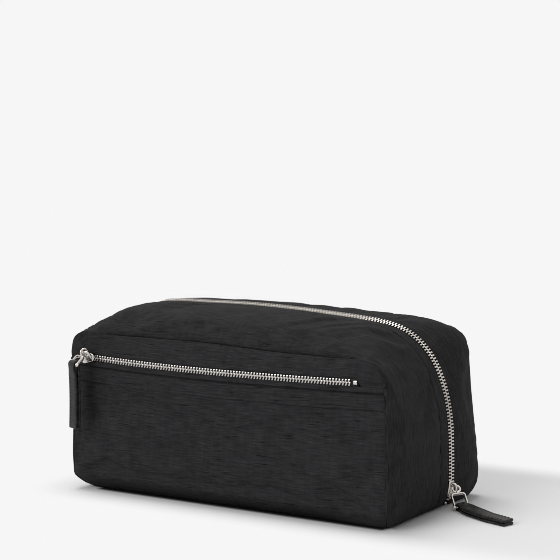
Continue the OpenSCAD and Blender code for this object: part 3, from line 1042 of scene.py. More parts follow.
FRONT_ARCH = Arch((
    (-124, 0.9), (-132, 3.0), (-137, 8.6), (-138.6, 20), (-138.4, 50), (-138.3, 80), (-139, 103),
    (-138.4, 111.5), (-135.6, 117.7), (-129.5, 121.6), (-118, 122.8), (-98, 123), (-60, 123.2), (-24, 123.1),
    (5, 121.9), (30, 120.6), (80, 119.6), (110, 118.9), (121, 117.4), (129, 113), (133.4, 105), (135.1, 90),
    (135.9, 55), (135.6, 22), (134.6, 8), (131.3, 2.6), (126, 0.9),
))
ZIP_ARCH = Arch((
    (-127, 1), (-133.5, 3), (-137, 9), (-138, 30), (-138.4, 70), (-138.2, 105), (-136.6, 121),
    (-131.5, 131.5), (-121, 137.3), (-104, 139.3), (-75, 139.6), (-50, 139.9), (-20, 139.5), (10, 138.3),
    (40, 136.4), (64, 134.6), (79.8, 132.7), (92.5, 130.1), (103.3, 125.5), (119.7, 111.3), (130.2, 91.3),
    (135.7, 67.6), (137.3, 42), (137.4, 24), (136.6, 9), (133.7, 2.9), (128, 1),
))
BACK_ARCH = Arch((
    (-127, 1), (-132.5, 2.8), (-135.2, 9), (-136, 30), (-134.5, 60), (-132, 90), (-128.8, 114),
    (-123.5, 126.5), (-113, 132.4), (-90, 134), (-40, 134.8), (20, 134.6), (70, 132.9), (92, 131.2),
    (108, 129.2), (119.5, 126.2), (126.6, 120.8), (129.9, 112.8), (131.4, 101), (132.6, 85), (134.4, 69),
    (136.4, 51), (138.2, 28), (138, 11), (134.8, 3.8), (127, 1),
))


@dataclass(frozen=True)
class Form:
    """The bag's smooth outer surface. Share runs round an arch from foot to foot and y is the depth."""

    front_y: float = -72.5
    zip_y: float = 24.0
    back_y: float = 72.5
    foot_r: float = 12.0
    foot_in: float = 13.0
    curl_reach: float = 14.0
    side_lean: float = 1.3
    top_lean: float = 8.5
    lean_reach: float = 36.0
    side_drop: float = 1.2
    top_drop: float = 3.0
    drop_reach: float = 11.0
    corner_x: float = 128.0
    corner_wide: float = 38.0
    lid_puff: float = 1.6
    back_dip: float = 1.6
    end_puff: float = 0.8
    shoulder_puff: float = 4.2
    shoulder_at: float = 0.752
    shoulder_wide: float = 0.05

    def front_depth(self, z: Array) -> Array:
        """How far the foot slants in under its height, after a short round edge."""
        return self.foot_in * held(1.0 - z / self.foot_r) ** 1.2

    def between_corners(self, x: Array) -> Array:
        """1 along the top away from the corners, eased to 0 towards them."""
        return smooth((self.corner_x - np.abs(x)) / self.corner_wide)

    def lean(self, x: Array) -> Array:
        """How far the front seam lies back: little down the ends, more along the top between the corners."""
        return self.side_lean + self.top_lean * self.between_corners(x)

    def drop(self, x: Array) -> Array:
        """How far the front seam lies under the arch: more along the top away from the corners."""
        return self.side_drop + self.top_drop * self.between_corners(x)

    def before_zip(self, y: Array) -> Array:
        """Share of the way from the front to the zip."""
        return held((y - self.front_y) / (self.zip_y - self.front_y))

    def behind_zip(self, y: Array) -> Array:
        """Share of the way from the zip to the back."""
        return held((y - self.zip_y) / (self.back_y - self.zip_y))

    def raw(self, share: Array, y: Array) -> Array:
        """Blend of the arches: weight 1 - (1 - u)^2.5 from front to zip, and plain from zip to back.

        Args:
            share: shares round the arches.
            y: depths.

        Returns:
            Points in millimetres.
        """
        share, y = np.broadcast_arrays(share, y)
        v = self.behind_zip(y)[..., None]
        w = (1.0 - (1.0 - self.before_zip(y)) ** 2.5)[..., None]
        front, middle = FRONT_ARCH.at(share), ZIP_ARCH.at(share)
        behind = (1 - v) * middle + v * BACK_ARCH.at(share)
        xz = np.where(y[..., None] > self.zip_y, behind, (1 - w) * front + w * middle)
        curl = self.front_depth(xz[..., 1])
        depth = y + curl * np.exp(-(y - self.front_y) / self.curl_reach)
        depth = depth - curl * np.exp((y - self.back_y) / self.curl_reach)
        depth = depth + self.lean(front[..., 0]) * held(1.0 - (y - self.front_y) / self.lean_reach) ** 2
        return points(xz[..., 0], depth, xz[..., 1])

    def grid(self, share: Array, y: Array, inset: float = 0.0) -> Array:
        """Points of the dressed surface on a grid of shares and depths, moved in by inset.

        The seam with the front dips, the lid swells between its seams and most at the right shoulder, and a
        little fullness lies between the front seam and the zip.
        """
        s, d = np.meshgrid(share, y, indexing="ij")
        p = self.raw(s, d)
        near = held(1.0 - (d - self.front_y) / self.drop_reach)
        ends = held((np.abs(s - 0.5) - 0.22) / 0.1)
        swell = np.sin(np.pi * self.behind_zip(d))
        out = -self.drop(FRONT_ARCH.at(s)[..., 0]) * near**2
        out += swell**0.9 * self.lid_puff
        out += swell**1.7 * self.shoulder_puff * bell(s - self.shoulder_at, self.shoulder_wide)
        out -= self.back_dip * held(1.0 - (self.back_y - d) / 7.0) ** 2
        out += self.end_puff * np.sin(np.pi * self.before_zip(d)) * ends * smooth((p[..., 2] - 4) / 25)
        return push(p, out - inset, p - 60.0 * Z)


FORM = Form()
MIDDLE = 50.0 * Z


# ---------------------------------------------------------------- front of the bag


@dataclass
class FrontPanel:
    """The pocket side: lower pocket panel, sewn band, zip, yoke and the curtain behind them."""

    shop: Workshop
    zip_z: float = 101.1
    zip_low_x: float = -5.0
    sag_left: float = 2.1e-4
    sag_right: float = 1.1e-4
    slot: float = 2.6
    band: float = 16.0
    lip: float = 4.4
    left_end: float = -127.0
    right_end: float = 113.0
    half_x: float = 135.0
    straight_z: float = 100.0
    yoke_foot: float = 99.4
    thick: float = 1.2
    puff: float = 2.6
    columns: int = 221
    groove: Dip = Dip(0.5, 1.4)
    left_seam: Dip = Dip()
    right_seam: Dip = Dip(2.8, 1.1)

    def zip_line(self, x: Array) -> Array:
        """Height of the zip's middle: two half parabolas that rise to the ends."""
        far = np.asarray(x) - self.zip_low_x
        return self.zip_z + np.where(far < 0, self.sag_left, self.sag_right) * far**2

    def low_lip(self, x: Array) -> Array:
        """Height of the zip's lower lip."""
        return self.zip_line(x) - self.slot

    def sides(self, z: Array) -> tuple[Array, Array]:
        """The seam's x on the left and on the right at a height."""
        s = np.linspace(0, 1, 1500)
        line = FRONT_ARCH.at(s)
        left, right = line[s < 0.26], line[s > 0.74][::-1]
        return np.interp(z, left[:, 1], left[:, 0]), np.interp(z, right[:, 1], right[:, 0])

    def top(self, x: Array) -> Array:
        """The seam's height over a place along the front."""
        line = FRONT_ARCH.at(np.linspace(0.18, 0.82, 1500))
        return np.interp(x, line[:, 0], line[:, 1] - self.under(line[:, 0]))

    def under(self, x: Array) -> Array:
        """How far the yoke's top edge lies under the arch."""
        return FORM.drop(x) - FORM.side_drop - 0.6

    def depth(self, x: Array, z: Array) -> Array:
        """The cloth's y: flat, puffed in the middle, curled in at the foot and dipped at the seams.

        Args:
            x: places along the front.
            z: heights.

        Returns:
            The depth at each place.
        """
        left, right = self.sides(np.minimum(z, self.straight_z))
        side = np.minimum(x - left, right - x)
        above = z - self.zip_line(x)
        lower = smooth(side / 60) * smooth(z / 45) * smooth(-above / 30)
        y = FORM.front_y + FORM.front_depth(z) - self.puff * lower
        y += FORM.side_lean * held(1 - side / 7.0) ** 2
        lip = self.zip_line(x) + self.slot + 0.5
        up = held((z - lip) / np.maximum(self.top(x) - lip, 1.0))
        y += (FORM.lean(x) - FORM.side_lean) * (0.75 * up + 0.25 * up**3)
        fade = smooth((x - self.left_end) / 6) * smooth((self.right_end + 3 - x) / 6)
        y += 0.5 * bell(np.maximum(np.abs(above) - self.slot, 0), 1.6) * fade
        past = smooth((x - self.right_end - 1.0) / 4.0)
        y += past * (1.7 * bell(above, 1.1) - bell(above - 4.2, 2.6))
        return y + self.wrinkles(x, z, side)

    def wrinkles(self, x: Array, z: Array, side: Array) -> Array:
        """Soft creases: gathers under the left slider, puckers along the right seam and slow waves.

        Args:
            x: places along the front.
            z: heights.
            side: distance from the nearer end seam.

        Returns:
            How far each place stands in.
        """
        left, right = self.sides(np.minimum(z, self.straight_z))
        gathers = spot(x - left, 13, z - 84, 17) * np.sin((z + 0.5 * x) / 2.1)
        puckers = np.exp(-((right - x) / 9)) * ripple(z + 0.35 * x, 5, 4, 17.0) * smooth((z - 3) / 20)
        slow = ripple(z + 0.10 * x, 11, 3, 52.0) * smooth(side / 25) * smooth(z / 30)
        corner = spot(x - 118, 22, z - 18, 14) * np.sin((z + 0.9 * x) / 3.6)
        return 0.55 * gathers + 0.5 * puckers + 0.35 * slow + 0.7 * corner

    def seen(self, x: Array) -> Array:
        """Where the seam over the front shows as a line: a stretch left of the middle and both corners."""
        return held(smooth((x + 52) / 8) * smooth((8 - x) / 8) + smooth((np.abs(x) - 100) / 10))

    def lift(self, x: Array) -> Array:
        """1 where the zip's slot is open and 0 beyond its ends."""
        return smooth((x - self.left_end) / 3.0) * smooth((self.right_end + 3.0 - x) / 5.0)

    def panel(self, low: Callable, high: Callable, rows: int) -> Array:
        """Grid between two lines of height, from seam to seam.

        Args:
            low: gives the lower height at x.
            high: gives the upper height at x.
            rows: number of rows up the panel.

        Returns:
            Points of shape (columns, rows, 3).
        """
        a = np.linspace(0, 1, self.columns)
        a = (0.5 * a + 0.5 * (0.5 - 0.5 * np.cos(np.pi * a)))[:, None]
        x0 = self.half_x * (2.0 * a - 1.0)
        z = low(x0) + (high(x0) - low(x0)) * np.linspace(0, 1, rows)[None]
        left, right = self.sides(z)
        x = left + (right - left) * a
        return points(x, self.depth(x, z), z)

    def yoke_grid(self) -> Array:
        """Rows that fan from the zip's upper lip to the seam round the panel's top."""
        n = self.columns + 60
        edge = FRONT_ARCH.at(FRONT_ARCH.above(self.yoke_foot, n))
        edge[:, 1] -= self.under(edge[:, 0])
        start, wide = edge[0, 0], edge[-1, 0] - edge[0, 0]
        x = start + wide * (0.9 * held((edge[:, 0] - start) / wide) + 0.1 * np.linspace(0, 1, n))
        lip = np.column_stack([x, self.zip_line(x) + self.slot * (2.0 * self.lift(x) - 1.0)])
        x, z = np.moveaxis(fan(lip, edge, 22), -1, 0)
        return points(x, self.depth(x, z), z)

    def seams(self, grid: Array) -> Array:
        """Grooves down a panel's left and right seams."""
        return self.left_seam.at(across(grid, True, 0)) + self.right_seam.at(across(grid, False, 0))

    def lower_panel(self) -> None:
        """Make the cloth under the band, loose over its frame and fast near the foot."""
        lower = self.panel(lambda x: np.full_like(x, 0.9), lambda x: self.low_lip(x) - self.band, 96)
        loose = cushion_cloth("pocket_cloth", lower, False, 0.012, 0.4, 2.4)
        lower = lower + (loose - lower) * smooth((lower[..., 2:] - 4.0) / 16.0)
        lower = push(lower, self.groove.at(across(lower, False, 1)) + self.seams(lower), -Y)
        self.shop.cloth("pocket_front_cloth", lower, self.thick, Finish.NYLON, "compartment", "pocket_front")

    def sewn_band(self) -> None:
        """Make the band under the zip and its two rows of stitches."""
        band = self.panel(lambda x: self.low_lip(x) - self.band, self.low_lip, 42)
        under_lip = across(band, False, 1) - self.lip
        amount = Dip(0.5, 1.2).at(across(band, True, 1)) + self.seams(band)
        amount += Dip(1.8, 0.5).at(under_lip) + 0.35 * bell(under_lip - 1.6, 1.4)
        amount += 0.16 * ripple(band[..., 0], 47, 5, 6.0) * bell(under_lip - 5.0, 3.4) + 0.25
        band = push(band, amount, -Y)
        self.shop.cloth("pocket_band_cloth", band, self.thick, Finish.FACING, "compartment", "pocket_band")
        for name, row in (("band_stitches_lower", 3), ("band_stitches_upper", 21)):
            self.shop.sew(name, band[3:-3, row], -Y, "compartment")

    def yoke(self) -> None:
        """Make the cloth over the zip and its row of stitches."""
        yoke = self.yoke_grid()
        seam = Dip(0.5, 0.8).at(np.abs(across(yoke, False, 1) - 1.0)) * self.seen(yoke[..., 0])
        yoke = push(yoke, 0.25 + seam, -Y)
        self.shop.cloth("front_yoke_cloth", yoke, self.thick, Finish.NYLON, "compartment", "front_yoke")
        self.shop.sew("yoke_stitches", yoke[25:-25, 3], -Y, "compartment")

    def curtain(self) -> None:
        """Make the lining behind the pocket, flat where the front leaves room."""
        curtain = self.panel(lambda x: np.full_like(x, 3.0), lambda x: self.top(x) - 4.0, 40)
        centre = 60.0 * Z
        plane = np.maximum(node_box("pocket_back")[0][1] + 0.2, curtain[..., 1:2] + 4.0)
        curtain = centre + (curtain - centre) * (0.975, 0.0, 0.985) + plane * Y
        self.shop.cloth("pocket_curtain", curtain, 0.6, Finish.LINING, "compartment", "pocket_back")

    def zip(self) -> None:
        """Make the pocket zip's tapes, teeth and end stop."""
        x = np.linspace(self.left_end, self.right_end, 121)
        path = points(x, node_box("pocket_teeth_upper")[0][1] + 1.1, self.zip_line(x))
        out = np.broadcast_to(-Y, path.shape)
        for near, half in ((True, "upper"), (False, "lower")):
            Zip().mount(self.shop, "pocket", half, near, "compartment", (path, out), (path[:-2], out[:-2]))
        low, high = node_box("pocket_zip_stop")
        centre = (low + high) / 2
        run = points(np.linspace(low[0], high[0], 5), centre[1], self.zip_line(centre[0]))
        stop = sweep(run, Z, -Y, ring_section(0.66 * (high[2] - low[2]), 1.3, 12, 4.0))
        self.shop.solid(
            "pocket_end_stop", stop, Finish.NICKEL, "compartment", "pocket_zip_stop", edge=(0.3, 40.0)
        )

    def build(self) -> None:
        """Make and dress every piece of the front."""
        self.lower_panel()
        self.sewn_band()
        self.yoke()
        self.curtain()
        self.zip()


# ---------------------------------------------------------------- the strips that run over the bag


@dataclass
class Gussets:
    """The strips of cloth over the top and down both ends, before and behind the main zip."""

    shop: Workshop
    seam_y: float = 6.0
    slot: float = 2.9
    thick: float = 1.2
    proud: float = 1.0
    shoulder_proud: float = 0.3
    tilt: float = 26.0
    around: int = 251

    def strip(self, y0: float, y1: float, rows: int) -> Array:
        """Grid of the bag's surface between two depths."""
        return FORM.grid(np.linspace(0.0, 1.0, self.around), np.linspace(y0, y1, rows))

    def creases(self, grid: Array) -> Array:
        """Wrinkles on the top in front of the zip: short diagonal folds and slow waves."""
        x, y, z = np.moveaxis(grid, -1, 0)
        top = smooth((z - 100) / 18)
        a, b = x * 0.8 - y * 0.6, x * 0.6 + y * 0.8
        folds = spot(x - 62, 46, y + 22, 30) * ripple(a, 21, 4, 30.0)
        middle = spot(x - 5, 50, y + 30, 26) * ripple(b, 23, 3, 44.0)
        left = spot(x + 100, 36, y + 45, 24) * ripple(b + 0.4 * a, 29, 4, 34.0)
        side = (1 - top) * ripple(z * 0.9 + y * 0.3, 31, 3, 70.0)
        return top * (1.25 * folds + 0.95 * middle + 0.9 * left) + 0.35 * side * smooth(z / 30)

    def front_strip(self) -> None:
        """Front gusset from the front seam to the facing's seam."""
        grid = self.strip(FORM.front_y, self.seam_y, 44)
        outward = grid - MIDDLE
        grid = cushion_cloth("gusset_cloth", grid, True, 0.012, 0.3, 2.2)
        near, far = across(grid, True, 1), across(grid, False, 1)
        amount = self.creases(grid) * smooth(near / 9) * smooth(far / 7)
        grid = push(grid, amount + Dip(0.1, 1.6).at(near) + Dip(0.9, 0.6).at(far), outward)
        self.shop.cloth(
            "front_gusset_cloth", grid, self.thick, Finish.NYLON, "compartment", "front_gusset", flip=True
        )

    def facing(self) -> None:
        """Facing between its seam and the zip, with a turned lip and two rows of stitches."""
        grid = self.strip(self.seam_y, FORM.zip_y - self.slot, 12)
        near, far = across(grid, True, 1), across(grid, False, 1)
        amount = 0.1 + Dip(0.9, 0.6).at(near) + Dip(1.6, 2.6).at(far) + 0.2 * bell(far - 4.0, 2.0)
        grid = push(grid, amount, grid - MIDDLE)
        self.shop.cloth(
            "zip_facing_cloth", grid, self.thick, Finish.FACING, "compartment", "zip_facing", flip=True
        )
        out = out_of_bag(grid[:, 1])[2:-2]
        self.shop.sew("facing_seam_stitches", grid[2:-2, 1], out, "compartment")
        self.shop.sew("facing_lip_stitches", grid[2:-2, 9], out, "compartment")

    def lid_strip(self) -> None:
        """Gusset behind the main zip."""
        grid = self.strip(FORM.zip_y + self.slot, FORM.back_y, 26)
        outward = grid - MIDDLE - 40.0 * Y
        grid = cushion_cloth("lid_cloth", grid, True, 0.008, 0.3, 1.4)
        near, far = across(grid, True, 1), across(grid, False, 1)
        waves = ripple(grid @ (0.7, 1.0, 0.6), 37, 3, 60.0) * smooth(near / 8) * smooth(far / 8)
        lip = Dip(0.9, 1.0).at(near) + 0.2 * bell(near - 3.0, 2.0)
        grid = push(grid, 0.22 * waves + lip + Dip(0.9, 2.0).at(far), outward)
        self.shop.cloth("lid_gusset_cloth", grid, self.thick, Finish.NYLON, "lid", "lid_gusset", flip=True)
        self.shop.sew("lid_lip_stitches", grid[2:-2, 2], out_of_bag(grid[:, 2])[2:-2], "lid")

    def main_zip(self) -> None:
        """Teeth, tapes and stops of the main zip, on the arch at its depth."""
        s = ZIP_ARCH.above(node_box("main_tape_front")[0][2], 400)
        x, z = ZIP_ARCH.at(s).T
        path = points(x, FORM.zip_y, z)
        out = out_of_bag(path)
        tilt = math.radians(self.tilt)
        lean = math.cos(tilt) * out - math.sin(tilt) * Y
        proud = self.proud + self.shoulder_proud * bell(s - 0.72, 0.07)
        teeth = (path + proud[:, None] * out, lean)
        for near, half, body in ((False, "front", "compartment"), (True, "rear", "lid")):
            Zip(reach=2.45, slant=0.0).mount(self.shop, "main", half, near, body, (path, out), teeth)
        parts = []
        for end in (0, -1):
            run = path[end] - 1.4 * Y - np.linspace(0, 1.9, 4)[:, None] * Z
            parts.append(sweep(run, Y, out[end], ring_section(2.2, 2.0, 10, 3.5)))
        self.shop.solid("main_end_stops", join(parts), Finish.NICKEL, "compartment", "main_zip_stops")

    def build(self) -> None:
        """Make both strips, the facing and the zip."""
        self.front_strip()
        self.facing()
        self.lid_strip()
        self.main_zip()


# ---------------------------------------------------------------- back, base and seams


@dataclass
class BackPanel:
    """The lid's plain back, with a slow outward swell and its seam."""

    shop: Workshop
    thick: float = 1.2
    puff: float = 1.6
    columns: int = 201
    rows: int = 60

    def grid(self) -> Array:
        """Rows that fan from the foot line to the back arch, with the foot line's x pulled to the sides."""
        t = np.linspace(0, 1, self.columns)
        edge = BACK_ARCH.at(t)
        x = edge[0, 0] + (edge[-1, 0] - edge[0, 0]) * smooth(smooth(t) * 0.6 + t * 0.4)
        xz = fan(np.column_stack([x, np.full_like(x, edge[0, 1])]), edge, self.rows)
        x, z = np.moveaxis(xz, -1, 0)
        far = np.linalg.norm(xz - edge[:, None], axis=-1)
        y = FORM.back_y - FORM.front_depth(z) + self.puff * smooth(far / 45) - held(1 - far / 7) ** 2
        return points(x, y + 0.5 * ripple(x * 0.5 + z, 41, 3, 60.0) * smooth(far / 25), z)

    def build(self) -> None:
        """Make the back with a groove along its seam."""
        grid = self.grid()
        grid = push(grid, Dip(0.9, 2.0).at(across(grid, False, 1)), Y)
        self.shop.cloth("back_panel_cloth", grid, self.thick, Finish.NYLON, "lid", "back_panel", flip=True)


@dataclass
class Base:
    """The bag's bottom: nylon panel, stiff board over it and the lining that hides the board."""

    shop: Workshop
    edge_x: float = 127.6
    edge_y: float = 60.8
    thick: float = 1.0
    corner: float = 9.0
    around: int = 96
    rows: int = 24

    def panel(self) -> None:
        """Nylon underside: nearly flat, and turned up a little round its edge."""
        x, y = np.linspace(-self.edge_x, self.edge_x, 90), np.linspace(-self.edge_y, self.edge_y, 50)
        x, y = np.meshgrid(x, y, indexing="ij")
        edge = np.minimum(self.edge_x - np.abs(x), self.edge_y - np.abs(y))
        waves = 0.12 * (1 + ripple(x + 0.4 * y, 51, 2, 70.0)) * smooth(edge / 12)
        grid = points(x, y, 0.05 + 0.9 * held(1 - edge / 6.0) ** 2 + waves)
        self.shop.cloth(
            "base_panel_cloth", grid, self.thick, Finish.NYLON, "compartment", "base_panel", flip=True
        )

    def sheet(self, node: str, name: str, finish: Finish) -> None:
        """A flat sheet with round corners that fills a CAD sheet's box.

        Args:
            node: the CAD node.
            name: the piece's name.
            finish: its finish.
        """
        low, high = node_box(node)
        a = np.linspace(0, 2 * np.pi, self.around, endpoint=False)
        c = np.stack([np.cos(a), np.sin(a)], axis=1)
        rim = np.sign(c) * ((high - low)[:2] / 2 - self.corner) * (np.abs(c) > 1e-9) + c * self.corner
        k = np.linspace(0, 1, self.rows)
        k = np.concatenate([k, k[::-1]])[:, None]
        x, y = ((low + high) / 2)[:2, None, None] + rim.T[:, None] * k
        pts = points(x, y, np.repeat([low[2], high[2]], self.rows)[:, None])
        faces = grid_faces(2 * self.rows, self.around, wrap_v=True)
        uv = pts[..., :2].reshape(-1, 2) * MM
        self.shop.solid(name, (pts.reshape(-1, 3), faces), finish, "compartment", node, uv)

    def build(self) -> None:
        """Make the panel, the board and the lining."""
        self.panel()
        self.sheet("base_board", "base_board_sheet", Finish.BOARD)
        self.sheet("base_lining", "base_lining_sheet", Finish.LINING)


@dataclass
class Seams:
    """The narrow welts sewn into the seams round the front and the back."""

    shop: Workshop
    radius: float = 0.6
    sunk: float = 0.6
    foot: float = 0.6
    count: int = 360
    sides: int = 10

    def welt(self, name: str, arch: Arch, y: float, body: str, node: str) -> None:
        """A cord along an arch, sunk into the seam; over the yoke it is thinner and lies deeper.

        Args:
            name: the piece's name.
            arch: the outline that it follows.
            y: the seam's depth.
            body: the CAD body that it moves with.
            node: the CAD node that it replaces.
        """
        front = y < 0
        x, z = arch.at(arch.above(node_box(node)[0][2] + self.foot, self.count)).T
        curl = FORM.front_depth(z)
        depth = y + curl + (FORM.lean(x) + 0.4) if front else y - curl - 0.9
        path = points(x, depth, z)
        out = out_of_bag(path)
        path = path - (self.sunk + (FORM.drop(x) if front else np.full_like(x, 1.2)))[:, None] * out
        size = 2 * self.radius * (1 + 0.06 * ripple(lengths(path), 61, 3, 9.0))
        if front:
            hidden = smooth((z - 100) / 12) * smooth((118 - np.abs(x)) / 10)
            size = size * (1 - 0.8 * hidden)
            path = path - 0.9 * hidden[:, None] * out
        uv = uv_pairs(lengths(path) * MM, np.linspace(0, 0.005, self.sides))
        self.shop.solid(name, sweep(path, Y, out, rings(size, self.sides)), Finish.SEAM, body, node, uv)

    def build(self) -> None:
        """Make both welts."""
        self.welt("front_welt", FRONT_ARCH, FORM.front_y, "compartment", "front_piping")
        self.welt("back_welt", BACK_ARCH, FORM.back_y, "lid", "back_piping")


# ---------------------------------------------------------------- inside


@dataclass
class Linings:
    """Thin smooth cloth inside both halves, drawn in from the shell."""

    shop: Workshop
    inset: float = 3.1
    thick: float = 0.5
    foot: float = 0.6
    around: int = 201
    rows: int = 50

    def shares(self, arch: Arch, low: float) -> Array:
        """Shares of an arch above a height, the same on both sides."""
        start = arch.share_at(low, False)
        return np.linspace(start, 1 - start, self.around)

    def strip(self, y0: float, y1: float, rows: int, low: float) -> Array:
        """Grid of the inside between two depths, above a height, with small slack folds.

        Args:
            y0: first depth.
            y1: last depth.
            rows: rows between them.
            low: lowest height.

        Returns:
            Points in millimetres.
        """
        grid = FORM.grid(self.shares(FRONT_ARCH, low), np.linspace(y0, y1, rows), self.inset)
        edge = np.minimum(across(grid, True, 1), across(grid, False, 1))
        folds = 0.45 * ripple(grid @ (0.8, 0.6, 0.7), 71, 4, 38.0)
        return push(grid, -np.abs(folds) * smooth(edge / 8), grid - MIDDLE)

    def end_wall(self, arch: Arch, y: float, low: float) -> Array:
        """Flat wall inside an arch, with slow waves: rows fan from the foot line to the arch.

        Args:
            arch: the outline.
            y: the wall's depth.
            low: lowest height.

        Returns:
            Points in millimetres.
        """
        edge = arch.at(self.shares(arch, low))
        centre = np.array([0.0, 60.0])
        edge = centre + (edge - centre) * (1 - self.inset / 66.0)
        x = np.linspace(edge[0, 0], edge[-1, 0], self.around)
        x, z = np.moveaxis(fan(np.column_stack([x, np.full_like(x, low)]), edge, self.rows), -1, 0)
        b = np.linspace(0, 1, self.rows)[None]
        waves = 0.4 * ripple(x * 0.8 + z, 73, 4, 46.0) * smooth(np.minimum(b, 1 - b) * 8)
        inner = FORM.front_depth(z) + FORM.lean(x) * smooth((z - 94) / 22) + 4.0
        y = np.maximum(y, FORM.front_y + inner) if y < 0 else np.minimum(y, FORM.back_y - inner)
        return points(x, y + waves, z)

    def build(self) -> None:
        """Make each half's lining, a strip and an end wall that both stand for its CAD node."""
        halves = (("compartment", FRONT_ARCH, 40, (1.5, 0.5)), ("lid", BACK_ARCH, 24, (0.5, 1.5)))
        for body, arch, rows, gaps in halves:
            name, front = f"{body}_lining", body == "compartment"
            low, high = node_box(name)
            foot = low[2] + self.foot
            strip = self.strip(low[1] + gaps[0], high[1] - gaps[1], rows, foot)
            wall = self.end_wall(arch, low[1] + 0.6 if front else high[1] - 0.6, foot)
            self.shop.cloth(f"{name}_strip", strip, self.thick, Finish.LINING, body, name)
            self.shop.cloth(f"{name}_wall", wall, self.thick, Finish.LINING, body, name, flip=front)


@dataclass
class MeshPocket:
    """Net pocket on the inside of the lid, gathered by an elastic along its mouth."""

    shop: Workshop
    gathers: float = 15.0
    thick: float = 0.3
    sides: int = 20

    def net(self) -> None:
        """Net: a sheet that bellies out between its edges and puckers towards the elastic."""
        low, high = node_box("mesh_pocket")
        u, v = np.meshgrid(np.linspace(0, 1, 181), np.linspace(0, 1, 44), indexing="ij")
        x = low[0] + (high[0] - low[0]) * u
        z = low[2] + (high[2] - low[2] + 1.5) * v
        belly = np.sin(np.pi * u) ** 0.6 * np.sin(np.pi * v * 0.85)
        folds = 0.6 * np.sin(2 * np.pi * x / self.gathers + 2 * np.sin(x / 23)) * v**3
        ends = bell(x - low[0], 3) + bell(high[0] - x, 3)
        deep = (high[1] - low[1] - 1.0) * np.maximum(ends, bell(z - low[2], 2.5))
        grid = points(x, low[1] + 0.9 - belly * 0.8 + folds * 0.5 + deep, z)
        self.shop.cloth("net_pocket", grid, self.thick, Finish.MESH, "lid", "mesh_pocket")

    def elastic(self) -> None:
        """Elastic: a flat oval section carried along the mouth, pinched into small gathers."""
        low, high = node_box("mesh_binding")
        x = np.linspace(low[0], high[0], 260)
        middle = (low + high) / 2
        path = points(x, middle[1] + 0.25 * np.sin(4 * np.pi * x / self.gathers), middle[2])
        tall = (high[2] - low[2]) * (0.96 + 0.04 * np.sin(2 * np.pi * x / 5.0))
        size = np.column_stack([tall, np.full_like(x, high[1] - low[1] - 0.3)])
        uv = uv_pairs(x * MM, np.linspace(0, 0.018, self.sides))
        shape = sweep(path, Z, -Y, rings(size, self.sides, 5.0))
        self.shop.solid("pocket_elastic", shape, Finish.ELASTIC, "lid", "mesh_binding", uv)

    def build(self) -> None:
        """Make the net and its elastic."""
        self.net()
        self.elastic()


@dataclass
class CornerWebs:
    """The gusset's cloth at the two lower corners, which the open zip leaves joined."""

    shop: Workshop
    start_z: float = 2.3
    end_z: float = 18.0
    inset: float = 2.25
    thick: float = 0.4

    def build(self) -> None:
        """Each web: a strip inside the shell at one end, attached to neither half."""
        low, high = node_box("corner_webs")
        x, y, _ = joint("lid_hinge")["pos_m"]
        for right, word in ((False, "left"), (True, "right")):
            s = np.array([ZIP_ARCH.share_at(float(z), right) for z in np.linspace(low[2], high[2], 18)])
            grid = FORM.grid(s, np.linspace(low[1] + 0.5, high[1] - 0.5, 26), self.inset)
            grid[..., 0] += 0.15 * np.sin(2 * np.pi * grid[..., 1] / 7.0)
            web = sheet_object(f"corner_web_{word}", grid, self.thick, flip=not right)
            self.shop.dress(web, Finish.LINING)
            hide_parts("corner_webs")
            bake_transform(web)
            declare_sheet(web)
            LOG.info("%s between the halves", web.name)


# ---------------------------------------------------------------- hook


@dataclass
class Hanger:
    """Webbing tab, swivel frame and round wire hook, stowed inside the lid."""

    shop: Workshop
    thick: float = 1.3
    half_gap: float = 0.8
    columns: int = 24

    def tab(self) -> None:
        """Webbing: a loop round the frame's bar whose two layers run up to the lining."""
        low, high = node_box("hanger_tab")
        _, y, z = np.array(joint("hook_fold")["pos_m"]) / MM
        r = (z - low[2]) - 0.75
        down = np.column_stack([np.full(12, -self.half_gap), np.linspace(high[2] - z, r * 0.9, 12)])
        angles = np.radians(np.linspace(118, 422, 40))
        loop = r * np.column_stack([np.cos(angles), np.sin(angles)])
        line = np.vstack([down, loop, down[::-1] * (-1, 1)])[:, None]
        grid = points(np.linspace(low[0], high[0], self.columns), y + line[..., 0], z + line[..., 1])
        obj = sheet_object("hanger_webbing", grid, self.thick)
        obj.modifiers["thickness"].offset = 0.0
        self.shop.mount(obj, Finish.WEBBING, "lid", "hanger_tab")

    def build(self) -> None:
        """Make the tab, and polish the CAD frame and hook."""
        self.tab()
        for node, finish in (("hanger_swivel", Finish.NICKEL), ("hanging_hook", Finish.WIRE)):
            self.shop.dress(frame["nodes"][node], finish)


# ---------------------------------------------------------------- sliders, bails and pulls


